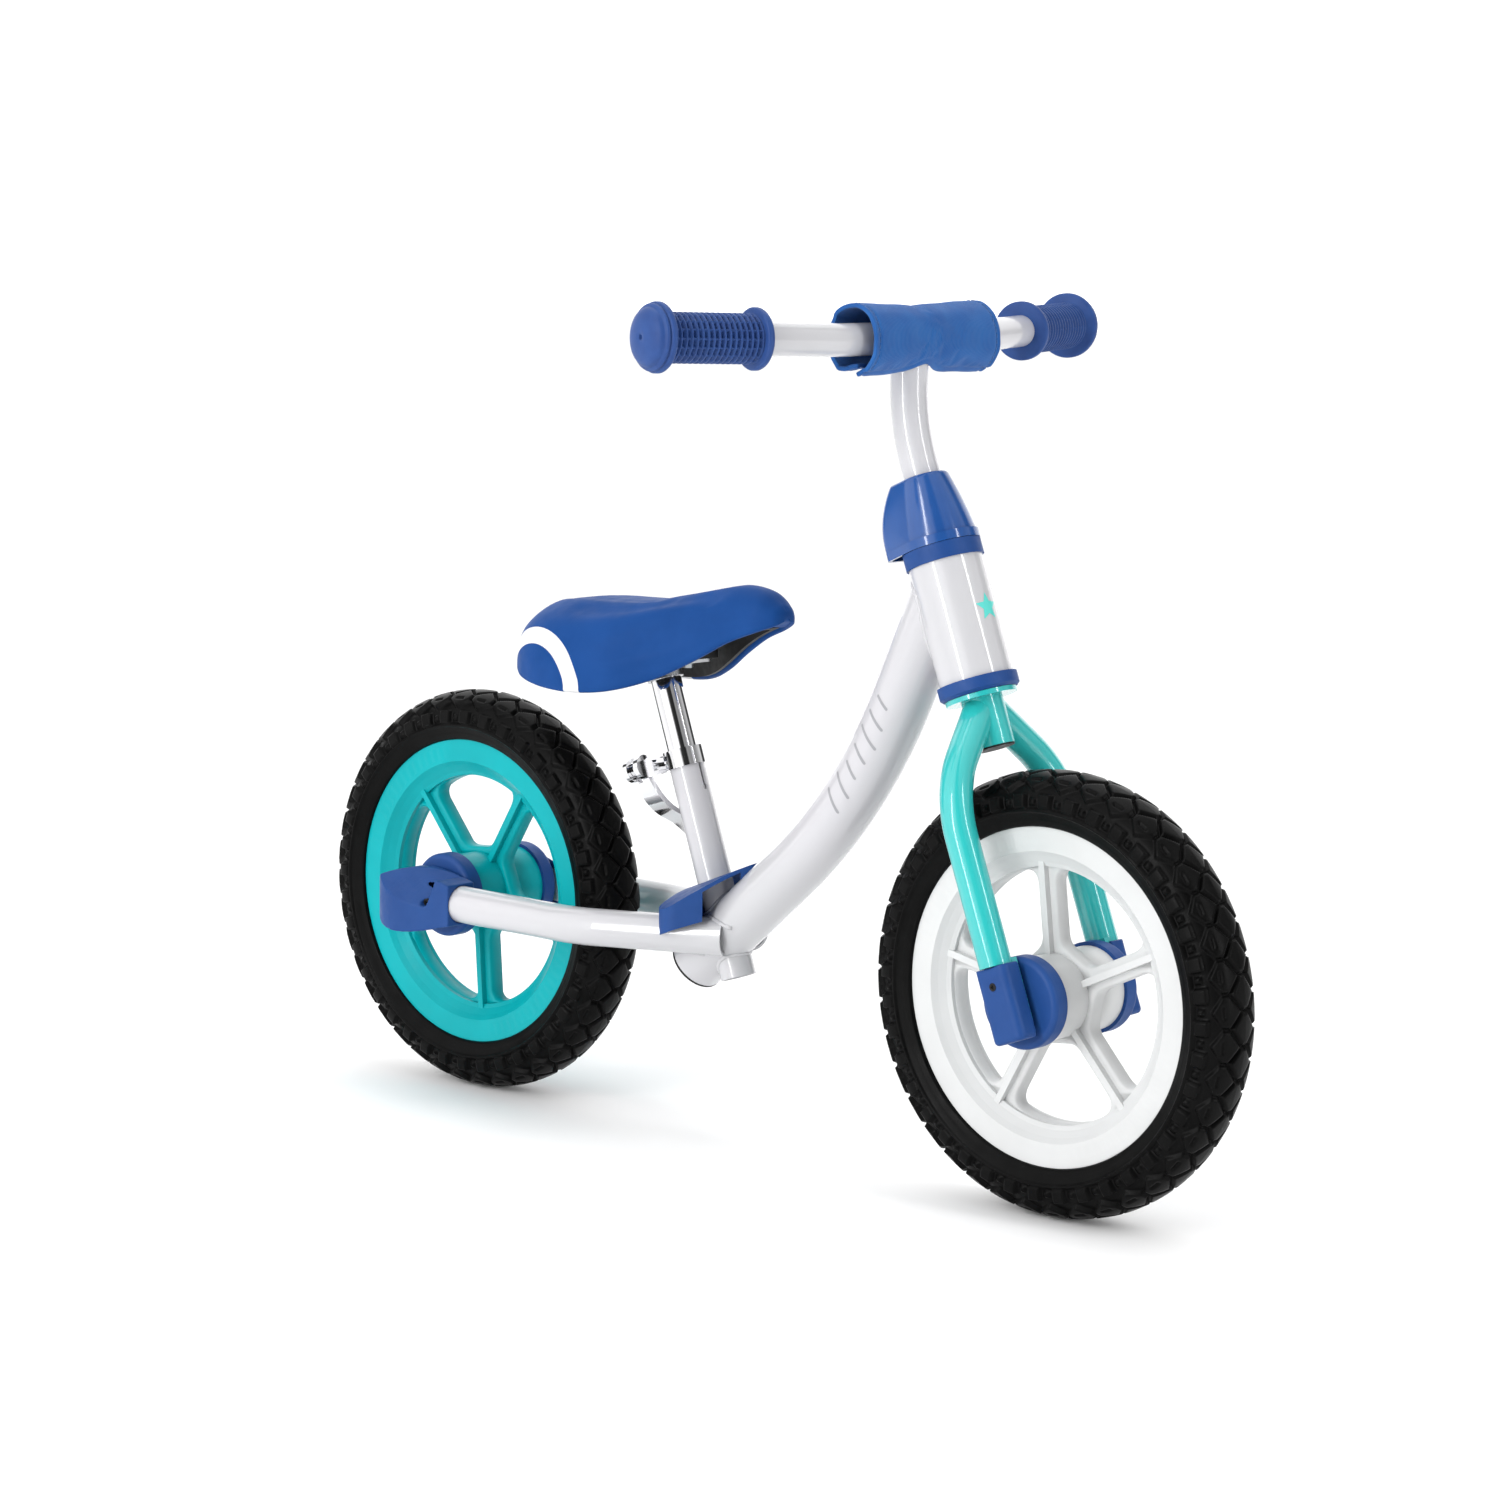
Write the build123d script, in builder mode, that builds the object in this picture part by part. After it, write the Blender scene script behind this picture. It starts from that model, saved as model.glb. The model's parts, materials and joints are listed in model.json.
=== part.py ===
"""Toddler balance bike, 12 inch foam tyres.

Millimetres, +X forward, +Y to the rider's left, +Z up. The origin is on the
ground, midway between the wheels, in the plane of symmetry.
"""
import os
from math import asin, cos, pi, radians, sin, tan

from build123d import *

os.makedirs("parts", exist_ok=True)

# ---- overall sizes ---------------------------------------------------------
wheelbase = 548.0
tyre_radius = 150.0
tyre_width = 50.0
head_tilt = 21.0
seat_tilt = 20.0
bar_height = 577.5
bar_rise = 3.5
bar_half_width = 224.0
seat_setback = 248.0

# ---- clearances ------------------------------------------------------------
run_gap = 0.3
soft_gap = 0.35
slide_gap = 0.3
cover_gap = 0.3

# ---- tubes -----------------------------------------------------------------
head_od = 50.8
head_wall = 2.0
head_length = 82.0
main_od = 42.0
main_wall = 1.6
main_low_angle = 41.0
main_low_run = 166.0
main_tail = 37.5
main_bend = 400.0
seat_tube_od = 25.4
seat_tube_wall = 1.3
seat_tube_rise = 135.0
seat_stub = 32.5
stay_od = 27.0
stay_wall = 1.8
stay_spread = 60.0
stay_bend = 80.0
stay_end_x = 30.0
blade_od = 22.2
blade_wall = 1.5
blade_spread = 57.0
blade_bend = 75.0
stem_od = 25.4
stem_wall = 1.8
steerer_wall = 1.3
steerer_od = stem_od + 2 * (slide_gap + steerer_wall)
bar_od = 22.2
bar_wall = 1.6
post_wall = 1.8

# ---- wheels ----------------------------------------------------------------
rim_side_radius = 113.7
rim_half_width = 17.6
rim_face_radius = 97.5
rim_lip_radius = 86.5
rim_seat_depth = 4.7
hub_radius = 28.5
hub_half = 32.0
spoke_count = 5
spoke_web = 13.0
spoke_rib = 4.6
web_half = 6.0
rib_half = 11.0
window_fillet = 7.0
front_phase = 25.0
rear_phase = 58.5
disc_radius = 31.0
disc_outer = 45.0

# ---- axles and bearings ----------------------------------------------------
axle_radius = 4.0
bearing_radius = 11.0
bearing_width = 7.0
bearing_inner_radius = 6.4
bearing_outer_bore = 9.2
ball_radius = 1.98
ball_track = 7.8
ball_count = 7
dropout_inner = 47.0
dropout_thick = 5.5
washer_thick = 1.5
nut_height = 6.5
nut_flats = 13.0
axle_end_over = 2.5

# ---- derived places --------------------------------------------------------
front_x = wheelbase / 2
rear_x = -wheelbase / 2
hub_z = tyre_radius
lean = radians(head_tilt)
rake = radians(seat_tilt)
axis_up = Vector(-sin(lean), 0, cos(lean))
axis_fore = Vector(cos(lean), 0, sin(lean))
post_up = Vector(-sin(rake), 0, cos(rake))
post_fore = Vector(cos(rake), 0, sin(rake))
front_hub = Vector(front_x, 0, hub_z)
seat_foot = Vector(rear_x + seat_setback, 0, hub_z)

steer_low = tyre_radius + 20.3
disc_low = steer_low + 33.0
disc_thick = 3.2
cup_lip_low = 9.7
cup_lip_high = 11.0
cup_od_low = head_od + 4.2
cup_od_high = head_od + 3.0
head_low = disc_low + disc_thick + run_gap + cup_lip_low
head_high = head_low + head_length
cup_top = head_high + cup_lip_high
shroud_low = cup_top + run_gap
steer_high = shroud_low + 27.0

axle_half = dropout_inner + dropout_thick + washer_thick + nut_height + axle_end_over
bearing_low = hub_half - 1.0 - bearing_width
bearing_high = hub_half - 1.0
seat_top = seat_tube_rise
clamp_height = 13.0
clamp_low = seat_top - clamp_height


def line_up(origin, direction):
    """Axis through a point, used to sort faces and edges along a direction."""
    return Axis(tuple(origin), tuple(direction))


def head_at(along, fore=0.0, side=0.0):
    """Plane square to the steering axis, at a distance up it from the hub."""
    here = front_hub + axis_up * along + axis_fore * fore + Vector(0, side, 0)
    return Plane(origin=here, x_dir=axis_fore, z_dir=axis_up)


def post_at(along, fore=0.0, side=0.0):
    """Plane square to the seat post, at a distance up it from hub height."""
    here = seat_foot + post_up * along + post_fore * fore + Vector(0, side, 0)
    return Plane(origin=here, x_dir=post_fore, z_dir=post_up)


def side_at(x, z, y):
    """Plane facing +Y, with its x along +X, at a point."""
    return Plane(origin=(x, y, z), x_dir=(-1, 0, 0), z_dir=(0, 1, 0))


# ---- main tube route -------------------------------------------------------
low_dir = Vector(cos(radians(main_low_angle)), 0, sin(radians(main_low_angle)))
main_end = seat_foot - low_dir * main_tail
main_knee = seat_foot + low_dir * main_low_run
main_head = front_hub + axis_up * (head_high - 8.0)

# ---- frame tubes -----------------------------------------------------------
with BuildPart() as head_tube:
    with BuildSketch(head_at(head_low)):
        Circle(head_od / 2)
        Circle(head_od / 2 - head_wall, mode=Mode.SUBTRACT)
    extrude(amount=head_length)
head_tube.part.label = "head_tube"
export_step(head_tube.part, "parts/head_tube.step")

with BuildPart() as main_tube:
    with BuildLine() as main_route:
        FilletPolyline(main_end, main_knee, main_head, radius=main_bend)
    with BuildSketch(Plane(origin=main_end, x_dir=(0, 1, 0), z_dir=low_dir)):
        Circle(main_od / 2)
        Circle(main_od / 2 - main_wall, mode=Mode.SUBTRACT)
    sweep()
    with BuildSketch(head_at(head_low - 20)):
        Circle(head_od / 2)
    extrude(amount=head_length + 60, mode=Mode.SUBTRACT)
    with BuildSketch(head_at(head_low - 20, fore=head_od)):
        Rectangle(2 * head_od, 2 * main_od)
    extrude(amount=head_length + 60, mode=Mode.SUBTRACT)
    with BuildSketch(head_at(head_high)):
        Circle(cup_od_high / 2)
    extrude(amount=head_length, mode=Mode.SUBTRACT)
    with BuildSketch(post_at(-seat_stub - 5)):
        Circle(seat_tube_od / 2)
    extrude(amount=seat_tube_rise, mode=Mode.SUBTRACT)
main_tube.part.label = "main_tube"
export_step(main_tube.part, "parts/main_tube.step")

with BuildPart() as main_tube_plug:
    plug_cap = 2.4
    plug_depth = 9.0
    with BuildSketch(Plane(origin=main_end, x_dir=(0, 1, 0), z_dir=-low_dir)):
        Circle(main_od / 2)
    extrude(amount=plug_cap)
    outer_face = main_tube_plug.faces().sort_by(line_up(main_end, -low_dir))[-1]
    fillet(outer_face.edges(), 1.0)
    with BuildSketch(Plane(origin=main_end, x_dir=(0, 1, 0), z_dir=low_dir)):
        Circle(main_od / 2 - main_wall)
    extrude(amount=plug_depth)
    with BuildSketch(post_at(-seat_stub - 5)):
        Circle(seat_tube_od / 2 + cover_gap)
    extrude(amount=seat_tube_rise, mode=Mode.SUBTRACT)
main_tube_plug.part.label = "main_tube_plug"
export_step(main_tube_plug.part, "parts/main_tube_plug.step")

slot_width = 2.4
slot_depth = 30.0
slot_hole = 2.3
with BuildPart() as seat_tube:
    with BuildSketch(post_at(-seat_stub)):
        Circle(seat_tube_od / 2)
        Circle(seat_tube_od / 2 - seat_tube_wall, mode=Mode.SUBTRACT)
    extrude(amount=seat_stub + seat_top)
    with BuildSketch(post_at(seat_top - slot_depth, fore=seat_tube_od / 4)):
        with Locations((seat_tube_od / 4, 0)):
            Rectangle(seat_tube_od / 2, slot_width)
    extrude(amount=slot_depth + 1, mode=Mode.SUBTRACT)
    slot_foot = post_at(seat_top - slot_depth).origin
    with BuildSketch(Plane(origin=slot_foot, x_dir=(0, 1, 0), z_dir=post_fore)):
        Circle(slot_hole)
    extrude(amount=seat_tube_od, mode=Mode.SUBTRACT)
seat_tube.part.label = "seat_tube"
export_step(seat_tube.part, "parts/seat_tube.step")

# ---- rear stays ------------------------------------------------------------
stay_x0 = rear_x + stay_end_x
stay_x1 = rear_x + tyre_radius + 5
stay_x2 = seat_foot.X + 10
stay_y2 = stay_spread - (stay_x2 - stay_x1) * tan(radians(24.3))
for side, sign in (("left", 1), ("right", -1)):
    with BuildPart() as rear_stay:
        with BuildLine() as stay_route:
            FilletPolyline(
                (stay_x0, sign * stay_spread, hub_z),
                (stay_x1, sign * stay_spread, hub_z),
                (stay_x2, sign * stay_y2, hub_z),
                radius=stay_bend,
            )
        with BuildSketch(Plane(origin=stay_route.line @ 0, z_dir=stay_route.line % 0)):
            Circle(stay_od / 2)
            Circle(stay_od / 2 - stay_wall, mode=Mode.SUBTRACT)
        sweep()
        with BuildSketch(Plane(origin=main_end, x_dir=(0, 1, 0), z_dir=low_dir)):
            Circle(main_od / 2)
        extrude(amount=main_tail + 60, mode=Mode.SUBTRACT)
        with BuildSketch(post_at(-seat_stub)):
            Circle(seat_tube_od / 2)
        extrude(amount=seat_stub + seat_top, mode=Mode.SUBTRACT)
        with BuildSketch(Plane(origin=(seat_foot.X, 0, hub_z), z_dir=(0, -sign, 0))):
            Rectangle(4 * stay_od, 4 * stay_od)
        extrude(amount=stay_spread, mode=Mode.SUBTRACT)
    rear_stay.part.label = f"rear_stay_{side}"
    export_step(rear_stay.part, f"parts/rear_stay_{side}.step")


# ---- dropouts: a flat plate on a round spigot that fits in the tube end ----
def dropout(at, spread, tube_od, tube_wall, reach, tail, half_height, sign):
    """One dropout. The plane's z points from the axle up into the tube."""
    plate_mid = dropout_inner + dropout_thick / 2
    flange = 3.0
    spigot = 12.0
    inward = Vector(0, sign * (plate_mid - spread), 0)
    centre = at.origin + Vector(0, sign * spread, 0)
    plate = Plane(origin=centre + inward, x_dir=at.x_dir, z_dir=at.z_dir)
    with BuildPart() as piece:
        with BuildSketch(plate.offset(-tail)):
            Rectangle(2 * half_height, dropout_thick)
        extrude(amount=tail + reach)
        corners = piece.edges().filter_by(Axis.Y).sort_by(line_up(centre, at.z_dir))[0:2]
        fillet(corners, half_height * 0.8)
        rim = Plane(origin=centre, x_dir=at.x_dir, z_dir=at.z_dir)
        with BuildSketch(rim.offset(reach - flange)):
            Circle(tube_od / 2)
        extrude(amount=flange)
        with BuildSketch(rim.offset(reach)):
            Circle(tube_od / 2 - tube_wall)
        extrude(amount=spigot)
        hole = Plane(origin=at.origin, x_dir=at.x_dir, z_dir=(0, 1, 0))
        with BuildSketch(hole):
            Circle(axle_radius)
        extrude(amount=sign * 2 * spread, mode=Mode.SUBTRACT)
    return piece.part


rear_frame = Plane(origin=(rear_x, 0, hub_z), x_dir=(0, 0, -1), z_dir=(1, 0, 0))
front_frame = head_at(0)
blade_end = 30.0
dropout_tail = 15.0
dropout_half = 12.0
rear_plates = [
    dropout(rear_frame, stay_spread, stay_od, stay_wall, stay_end_x,
            dropout_tail, dropout_half, sign)
    for sign in (1, -1)
]
fork_plates = [
    dropout(front_frame, blade_spread, blade_od, blade_wall, blade_end,
            dropout_tail + 4, blade_od / 2 - 0.6, sign)
    for sign in (1, -1)
]
for name, plates in (("rear_dropouts", rear_plates), ("fork_ends", fork_plates)):
    with BuildPart() as pair:
        add(plates)
    pair.part.label = name
    export_step(pair.part, f"parts/{name}.step")

# ---- foot rest: a crowned tongue over the main tube and the stays ----------
rest_wall = 2.4
rest_slope = 22.0
rest_rear = seat_foot.X - 32.0
rest_tip = seat_foot.X + 29.6
rest_half = 46.0
rest_crown = 27.5
rest_dir = Vector(cos(radians(rest_slope)), 0, sin(radians(rest_slope)))
rest_origin = Vector(rest_rear, 0, hub_z)
rest_section = Plane(origin=rest_origin - rest_dir * 20, x_dir=(0, 1, 0), z_dir=rest_dir)


def rest_outline(shrink):
    """Plan outline of the foot rest, drawn in by a wall."""
    half = rest_half - shrink
    length = rest_tip - rest_rear
    tip = rest_tip - 2.2 * shrink
    rear = rest_rear + shrink
    points = [
        (rear, -half * 0.62),
        (rear + 8, -half * 0.97),
        (rear + 16, -half),
        (rear + length * 0.42, -half * 0.88),
        (rear + length * 0.64, -half * 0.64),
        (rear + length * 0.83, -half * 0.36),
        (tip - 2, -half * 0.13),
    ]
    mirrored = [(x, -y) for x, y in reversed(points)]
    Polyline(points[-1], (tip, 0), mirrored[0])
    Spline(*points)
    Spline(*mirrored)
    Line(points[0], mirrored[-1])


def rest_arch(shrink):
    """Cross section of the foot rest: a crowned top on straight skirts."""
    half = rest_half + 4 - shrink
    top = rest_crown - shrink
    shoulder = 12.0 - shrink
    floor = -2.0 if shrink == 0 else -30.0
    Spline((-half, shoulder), (-half * 0.5, shoulder + (top - shoulder) * 0.72),
           (0, top), (half * 0.5, shoulder + (top - shoulder) * 0.72), (half, shoulder))
    Polyline((half, shoulder), (half, floor), (-half, floor), (-half, shoulder))


def rest_body(shrink):
    """Plan outline carried up, kept where it lies under the arch."""
    with BuildPart() as body:
        with BuildSketch(Plane.XY.offset(hub_z - 40)):
            with BuildLine():
                rest_outline(shrink)
            make_face()
        extrude(amount=160)
        with BuildSketch(rest_section):
            with BuildLine():
                rest_arch(shrink)
            make_face()
        extrude(amount=150, mode=Mode.INTERSECT)
    return body.part


with BuildPart() as foot_rest:
    add(rest_body(0.0))
    add(rest_body(rest_wall), mode=Mode.SUBTRACT)
    with BuildSketch(Plane(origin=main_end, x_dir=(0, 1, 0), z_dir=low_dir)):
        Circle(main_od / 2 + 0.05)
    extrude(amount=main_tail + 90, mode=Mode.SUBTRACT)
    with BuildSketch(post_at(0)):
        Circle(seat_tube_od / 2 + cover_gap)
    extrude(amount=seat_top, mode=Mode.SUBTRACT)
    for sign in (1, -1):
        with BuildLine() as rest_route:
            FilletPolyline(
                (stay_x0, sign * stay_spread, hub_z),
                (stay_x1, sign * stay_spread, hub_z),
                (stay_x2, sign * stay_y2, hub_z),
                radius=stay_bend,
            )
        with BuildSketch(Plane(origin=rest_route.line @ 0, z_dir=rest_route.line % 0)):
            Circle(stay_od / 2 + 0.05)
        sweep(mode=Mode.SUBTRACT)
foot_rest_solid = foot_rest.part.solids().sort_by(SortBy.VOLUME)[-1]
foot_rest_part = Part(foot_rest_solid.wrapped)
foot_rest_part.label = "foot_rest"
export_step(foot_rest_part, "parts/foot_rest.step")

# ---- headset cups: plastic bushes pressed into the head tube ---------------
cup_insert = 14.0
cup_bore = steerer_od / 2 + run_gap
with BuildPart() as lower_headset_cup:
    with BuildSketch(head_at(head_low - cup_lip_low)):
        Circle(cup_od_low / 2)
    extrude(amount=cup_lip_low)
    low_rim = lower_headset_cup.edges().sort_by(line_up(front_hub, axis_up))
    chamfer(low_rim[0], 2.0)
    with BuildSketch(head_at(head_low)):
        Circle(head_od / 2 - head_wall)
    extrude(amount=cup_insert)
    with BuildSketch(head_at(head_low - cup_lip_low)):
        Circle(cup_bore)
    extrude(amount=cup_lip_low + cup_insert, mode=Mode.SUBTRACT)
lower_headset_cup.part.label = "lower_headset_cup"
export_step(lower_headset_cup.part, "parts/lower_headset_cup.step")

with BuildPart() as upper_headset_cup:
    with BuildSketch(head_at(head_high)):
        Circle(cup_od_high / 2)
    extrude(amount=cup_lip_high)
    with BuildSketch(head_at(head_high - cup_insert)):
        Circle(head_od / 2 - head_wall)
    extrude(amount=cup_insert)
    with BuildSketch(head_at(head_high - cup_insert)):
        Circle(cup_bore)
    extrude(amount=cup_lip_high + cup_insert, mode=Mode.SUBTRACT)
upper_headset_cup.part.label = "upper_headset_cup"
export_step(upper_headset_cup.part, "parts/upper_headset_cup.step")

# ---- axles, nuts, washers, spacers, bearings -------------------------------
hubs = (("rear", rear_x), ("front", front_x))
nut_low = dropout_inner + dropout_thick + washer_thick
for place, hub_x in hubs:
    with BuildPart() as axle:
        with BuildSketch(side_at(hub_x, hub_z, -axle_half)):
            Circle(axle_radius)
        extrude(amount=2 * axle_half)
        chamfer(axle.faces().filter_by(Plane.XZ).edges(), 0.6)
    axle.part.label = f"{place}_axle"
    export_step(axle.part, f"parts/{place}_axle.step")

    with BuildPart() as washers:
        for low in (nut_low - washer_thick, -nut_low):
            with BuildSketch(side_at(hub_x, hub_z, low)):
                Circle(8.5)
                Circle(axle_radius, mode=Mode.SUBTRACT)
            extrude(amount=washer_thick)
    washers.part.label = f"{place}_washers"
    export_step(washers.part, f"parts/{place}_washers.step")

    with BuildPart() as nuts:
        for low in (nut_low, -nut_low - nut_height):
            with BuildSketch(side_at(hub_x, hub_z, low)):
                RegularPolygon(nut_flats / 2, 6, major_radius=False)
                Circle(axle_radius, mode=Mode.SUBTRACT)
            extrude(amount=nut_height)
    nuts.part.label = f"{place}_axle_nuts"
    export_step(nuts.part, f"parts/{place}_axle_nuts.step")

    with BuildPart() as spacers:
        for low, high in ((-bearing_low, bearing_low),
                          (bearing_high, dropout_inner),
                          (-dropout_inner, -bearing_high)):
            with BuildSketch(side_at(hub_x, hub_z, low)):
                Circle(bearing_inner_radius)
                Circle(axle_radius, mode=Mode.SUBTRACT)
            extrude(amount=high - low)
    spacers.part.label = f"{place}_axle_spacers"
    export_step(spacers.part, f"parts/{place}_axle_spacers.step")

    with BuildPart() as inner_rings:
        for low in (bearing_low, -bearing_high):
            with BuildSketch(side_at(hub_x, hub_z, low)):
                Circle(bearing_inner_radius)
                Circle(axle_radius, mode=Mode.SUBTRACT)
            extrude(amount=bearing_width)
            middle = low + bearing_width / 2
            with BuildSketch(Plane(origin=(hub_x, middle, hub_z), x_dir=(1, 0, 0), z_dir=(0, 0, 1))):
                with Locations((ball_track, 0)):
                    Circle(ball_radius + run_gap)
            revolve(axis=Axis((hub_x, 0, hub_z), (0, 1, 0)), mode=Mode.SUBTRACT)
    inner_rings.part.label = f"{place}_bearing_inner_rings"
    export_step(inner_rings.part, f"parts/{place}_bearing_inner_rings.step")

    with BuildPart() as outer_rings:
        for low in (bearing_low, -bearing_high):
            with BuildSketch(side_at(hub_x, hub_z, low)):
                Circle(bearing_radius)
                Circle(bearing_outer_bore, mode=Mode.SUBTRACT)
            extrude(amount=bearing_width)
            middle = low + bearing_width / 2
            with BuildSketch(Plane(origin=(hub_x, middle, hub_z), x_dir=(1, 0, 0), z_dir=(0, 0, 1))):
                with Locations((ball_track, 0)):
                    Circle(ball_radius)
            revolve(axis=Axis((hub_x, 0, hub_z), (0, 1, 0)), mode=Mode.SUBTRACT)
    outer_rings.part.label = f"{place}_bearing_outer_rings"
    export_step(outer_rings.part, f"parts/{place}_bearing_outer_rings.step")

    with BuildPart() as balls:
        for low in (bearing_low, -bearing_high):
            middle = low + bearing_width / 2
            for turn in range(ball_count):
                angle = 2 * pi * turn / ball_count
                where = (hub_x + ball_track * cos(angle), middle, hub_z + ball_track * sin(angle))
                with Locations(where):
                    Sphere(ball_radius)
    balls.part.label = f"{place}_bearing_balls"
    export_step(balls.part, f"parts/{place}_bearing_balls.step")

    with BuildPart() as discs:
        for low, high, face in ((hub_half, disc_outer, -1), (-disc_outer, -hub_half, 0)):
            with BuildSketch(side_at(hub_x, hub_z, low)):
                Circle(disc_radius)
            extrude(amount=high - low)
        tops = discs.edges().filter_by(GeomType.CIRCLE).sort_by(Axis.Y)
        fillet([tops[0], tops[-1]], 4.0)
        with BuildSketch(side_at(hub_x, hub_z, -disc_outer)):
            Circle(bearing_inner_radius + 2.0)
        extrude(amount=2 * disc_outer, mode=Mode.SUBTRACT)
    discs.part.label = f"{place}_hub_discs"
    export_step(discs.part, f"parts/{place}_hub_discs.step")

# ---- rims: hub, five webbed spokes and a channel for the tyre --------------
rim_seat_radius = rim_side_radius - rim_seat_depth
seat_half = rim_half_width - 4.6
lip_half = 9.0


def rim_profile():
    """Half section of the rim band, radius along x and width along y."""
    Polyline(
        (rim_side_radius, rim_half_width),
        (rim_face_radius, rim_half_width),
        (rim_face_radius - 3.5, rim_half_width - 3.4),
        (rim_lip_radius + 3.0, lip_half + 1.6),
        (rim_lip_radius, lip_half),
        (rim_lip_radius, -lip_half),
        (rim_lip_radius + 3.0, -lip_half - 1.6),
        (rim_face_radius - 3.5, -rim_half_width + 3.4),
        (rim_face_radius, -rim_half_width),
        (rim_side_radius, -rim_half_width),
        (rim_side_radius, -rim_half_width + 2.2),
        (rim_seat_radius, -seat_half),
        (rim_seat_radius, seat_half),
        (rim_side_radius, rim_half_width - 2.2),
        close=True,
    )


def window_face():
    """One opening between two spokes, before its corners are rounded."""
    step = 2 * pi / spoke_count
    inner = hub_radius + 1.5
    outer = rim_lip_radius + 2.0
    half = spoke_web / 2
    first = asin(half / outer)
    first_in = asin(half / inner)
    mid = step / 2
    points = [
        (outer * cos(first), outer * sin(first)),
        (outer * cos(mid), outer * sin(mid)),
        (outer * cos(step - first), outer * sin(step - first)),
        (inner * cos(step - first_in), inner * sin(step - first_in)),
        (inner * cos(mid), inner * sin(mid)),
        (inner * cos(first_in), inner * sin(first_in)),
    ]
    ThreePointArc(points[0], points[1], points[2])
    Line(points[2], points[3])
    ThreePointArc(points[3], points[4], points[5])
    Line(points[5], points[0])


for place, hub_x, phase in (("rear", rear_x, rear_phase), ("front", front_x, front_phase)):
    spin = Plane(origin=(hub_x, 0, hub_z), x_dir=(cos(radians(phase)), 0, sin(radians(phase))),
                 z_dir=(0, -1, 0))
    with BuildPart() as rim:
        with BuildSketch(Plane(origin=(hub_x, 0, hub_z), x_dir=(1, 0, 0), z_dir=(0, 0, 1))):
            with BuildLine():
                rim_profile()
            make_face()
        revolve(axis=Axis((hub_x, 0, hub_z), (0, 1, 0)))
        with BuildSketch(spin.offset(-web_half)):
            Circle(rim_lip_radius + 1.0)
            with BuildSketch(mode=Mode.PRIVATE) as opening:
                with BuildLine():
                    window_face()
                make_face()
                fillet(opening.vertices(), window_fillet)
            with PolarLocations(0, spoke_count):
                add(opening.sketch, mode=Mode.SUBTRACT)
        extrude(amount=2 * web_half)
        with BuildSketch(spin.offset(-rib_half)):
            with PolarLocations(0, spoke_count):
                with Locations(((hub_radius + rim_face_radius) / 2 - 3, 0)):
                    Rectangle(rim_face_radius - hub_radius + 2, spoke_rib)
        extrude(amount=2 * rib_half)
        with BuildSketch(spin.offset(-hub_half)):
            Circle(hub_radius)
        extrude(amount=2 * hub_half)
        with BuildSketch(spin.offset(-hub_half)):
            Circle(bearing_outer_bore)
        extrude(amount=2 * hub_half, mode=Mode.SUBTRACT)
        for low in (bearing_low, -hub_half):
            with BuildSketch(spin.offset(low)):
                Circle(bearing_radius)
            extrude(amount=hub_half - bearing_low, mode=Mode.SUBTRACT)
    rim.part.label = f"{place}_rim"
    export_step(rim.part, f"parts/{place}_rim.step")

    with BuildPart() as tyre:
        with BuildSketch(Plane(origin=(hub_x, 0, hub_z), x_dir=(1, 0, 0), z_dir=(0, 0, 1))):
            with BuildLine():
                half = tyre_width / 2
                Polyline(
                    (rim_side_radius, rim_half_width - 2.2),
                    (rim_seat_radius, seat_half),
                    (rim_seat_radius, -seat_half),
                    (rim_side_radius, -rim_half_width + 2.2),
                    (rim_side_radius, -rim_half_width - 0.6),
                )
                Spline(
                    (rim_side_radius, -rim_half_width - 0.6),
                    (rim_side_radius + (tyre_radius - rim_side_radius) * 0.28, -half * 0.90),
                    (rim_side_radius + (tyre_radius - rim_side_radius) * 0.56, -half),
                    (rim_side_radius + (tyre_radius - rim_side_radius) * 0.86, -half * 0.68),
                    (tyre_radius, 0),
                    (rim_side_radius + (tyre_radius - rim_side_radius) * 0.86, half * 0.68),
                    (rim_side_radius + (tyre_radius - rim_side_radius) * 0.56, half),
                    (rim_side_radius + (tyre_radius - rim_side_radius) * 0.28, half * 0.90),
                    (rim_side_radius, rim_half_width + 0.6),
                )
                Line((rim_side_radius, rim_half_width + 0.6), (rim_side_radius, rim_half_width - 2.2))
            make_face()
        revolve(axis=Axis((hub_x, 0, hub_z), (0, 1, 0)))
    tyre.part.label = f"{place}_tyre"
    export_step(tyre.part, f"parts/{place}_tyre.step")

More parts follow.
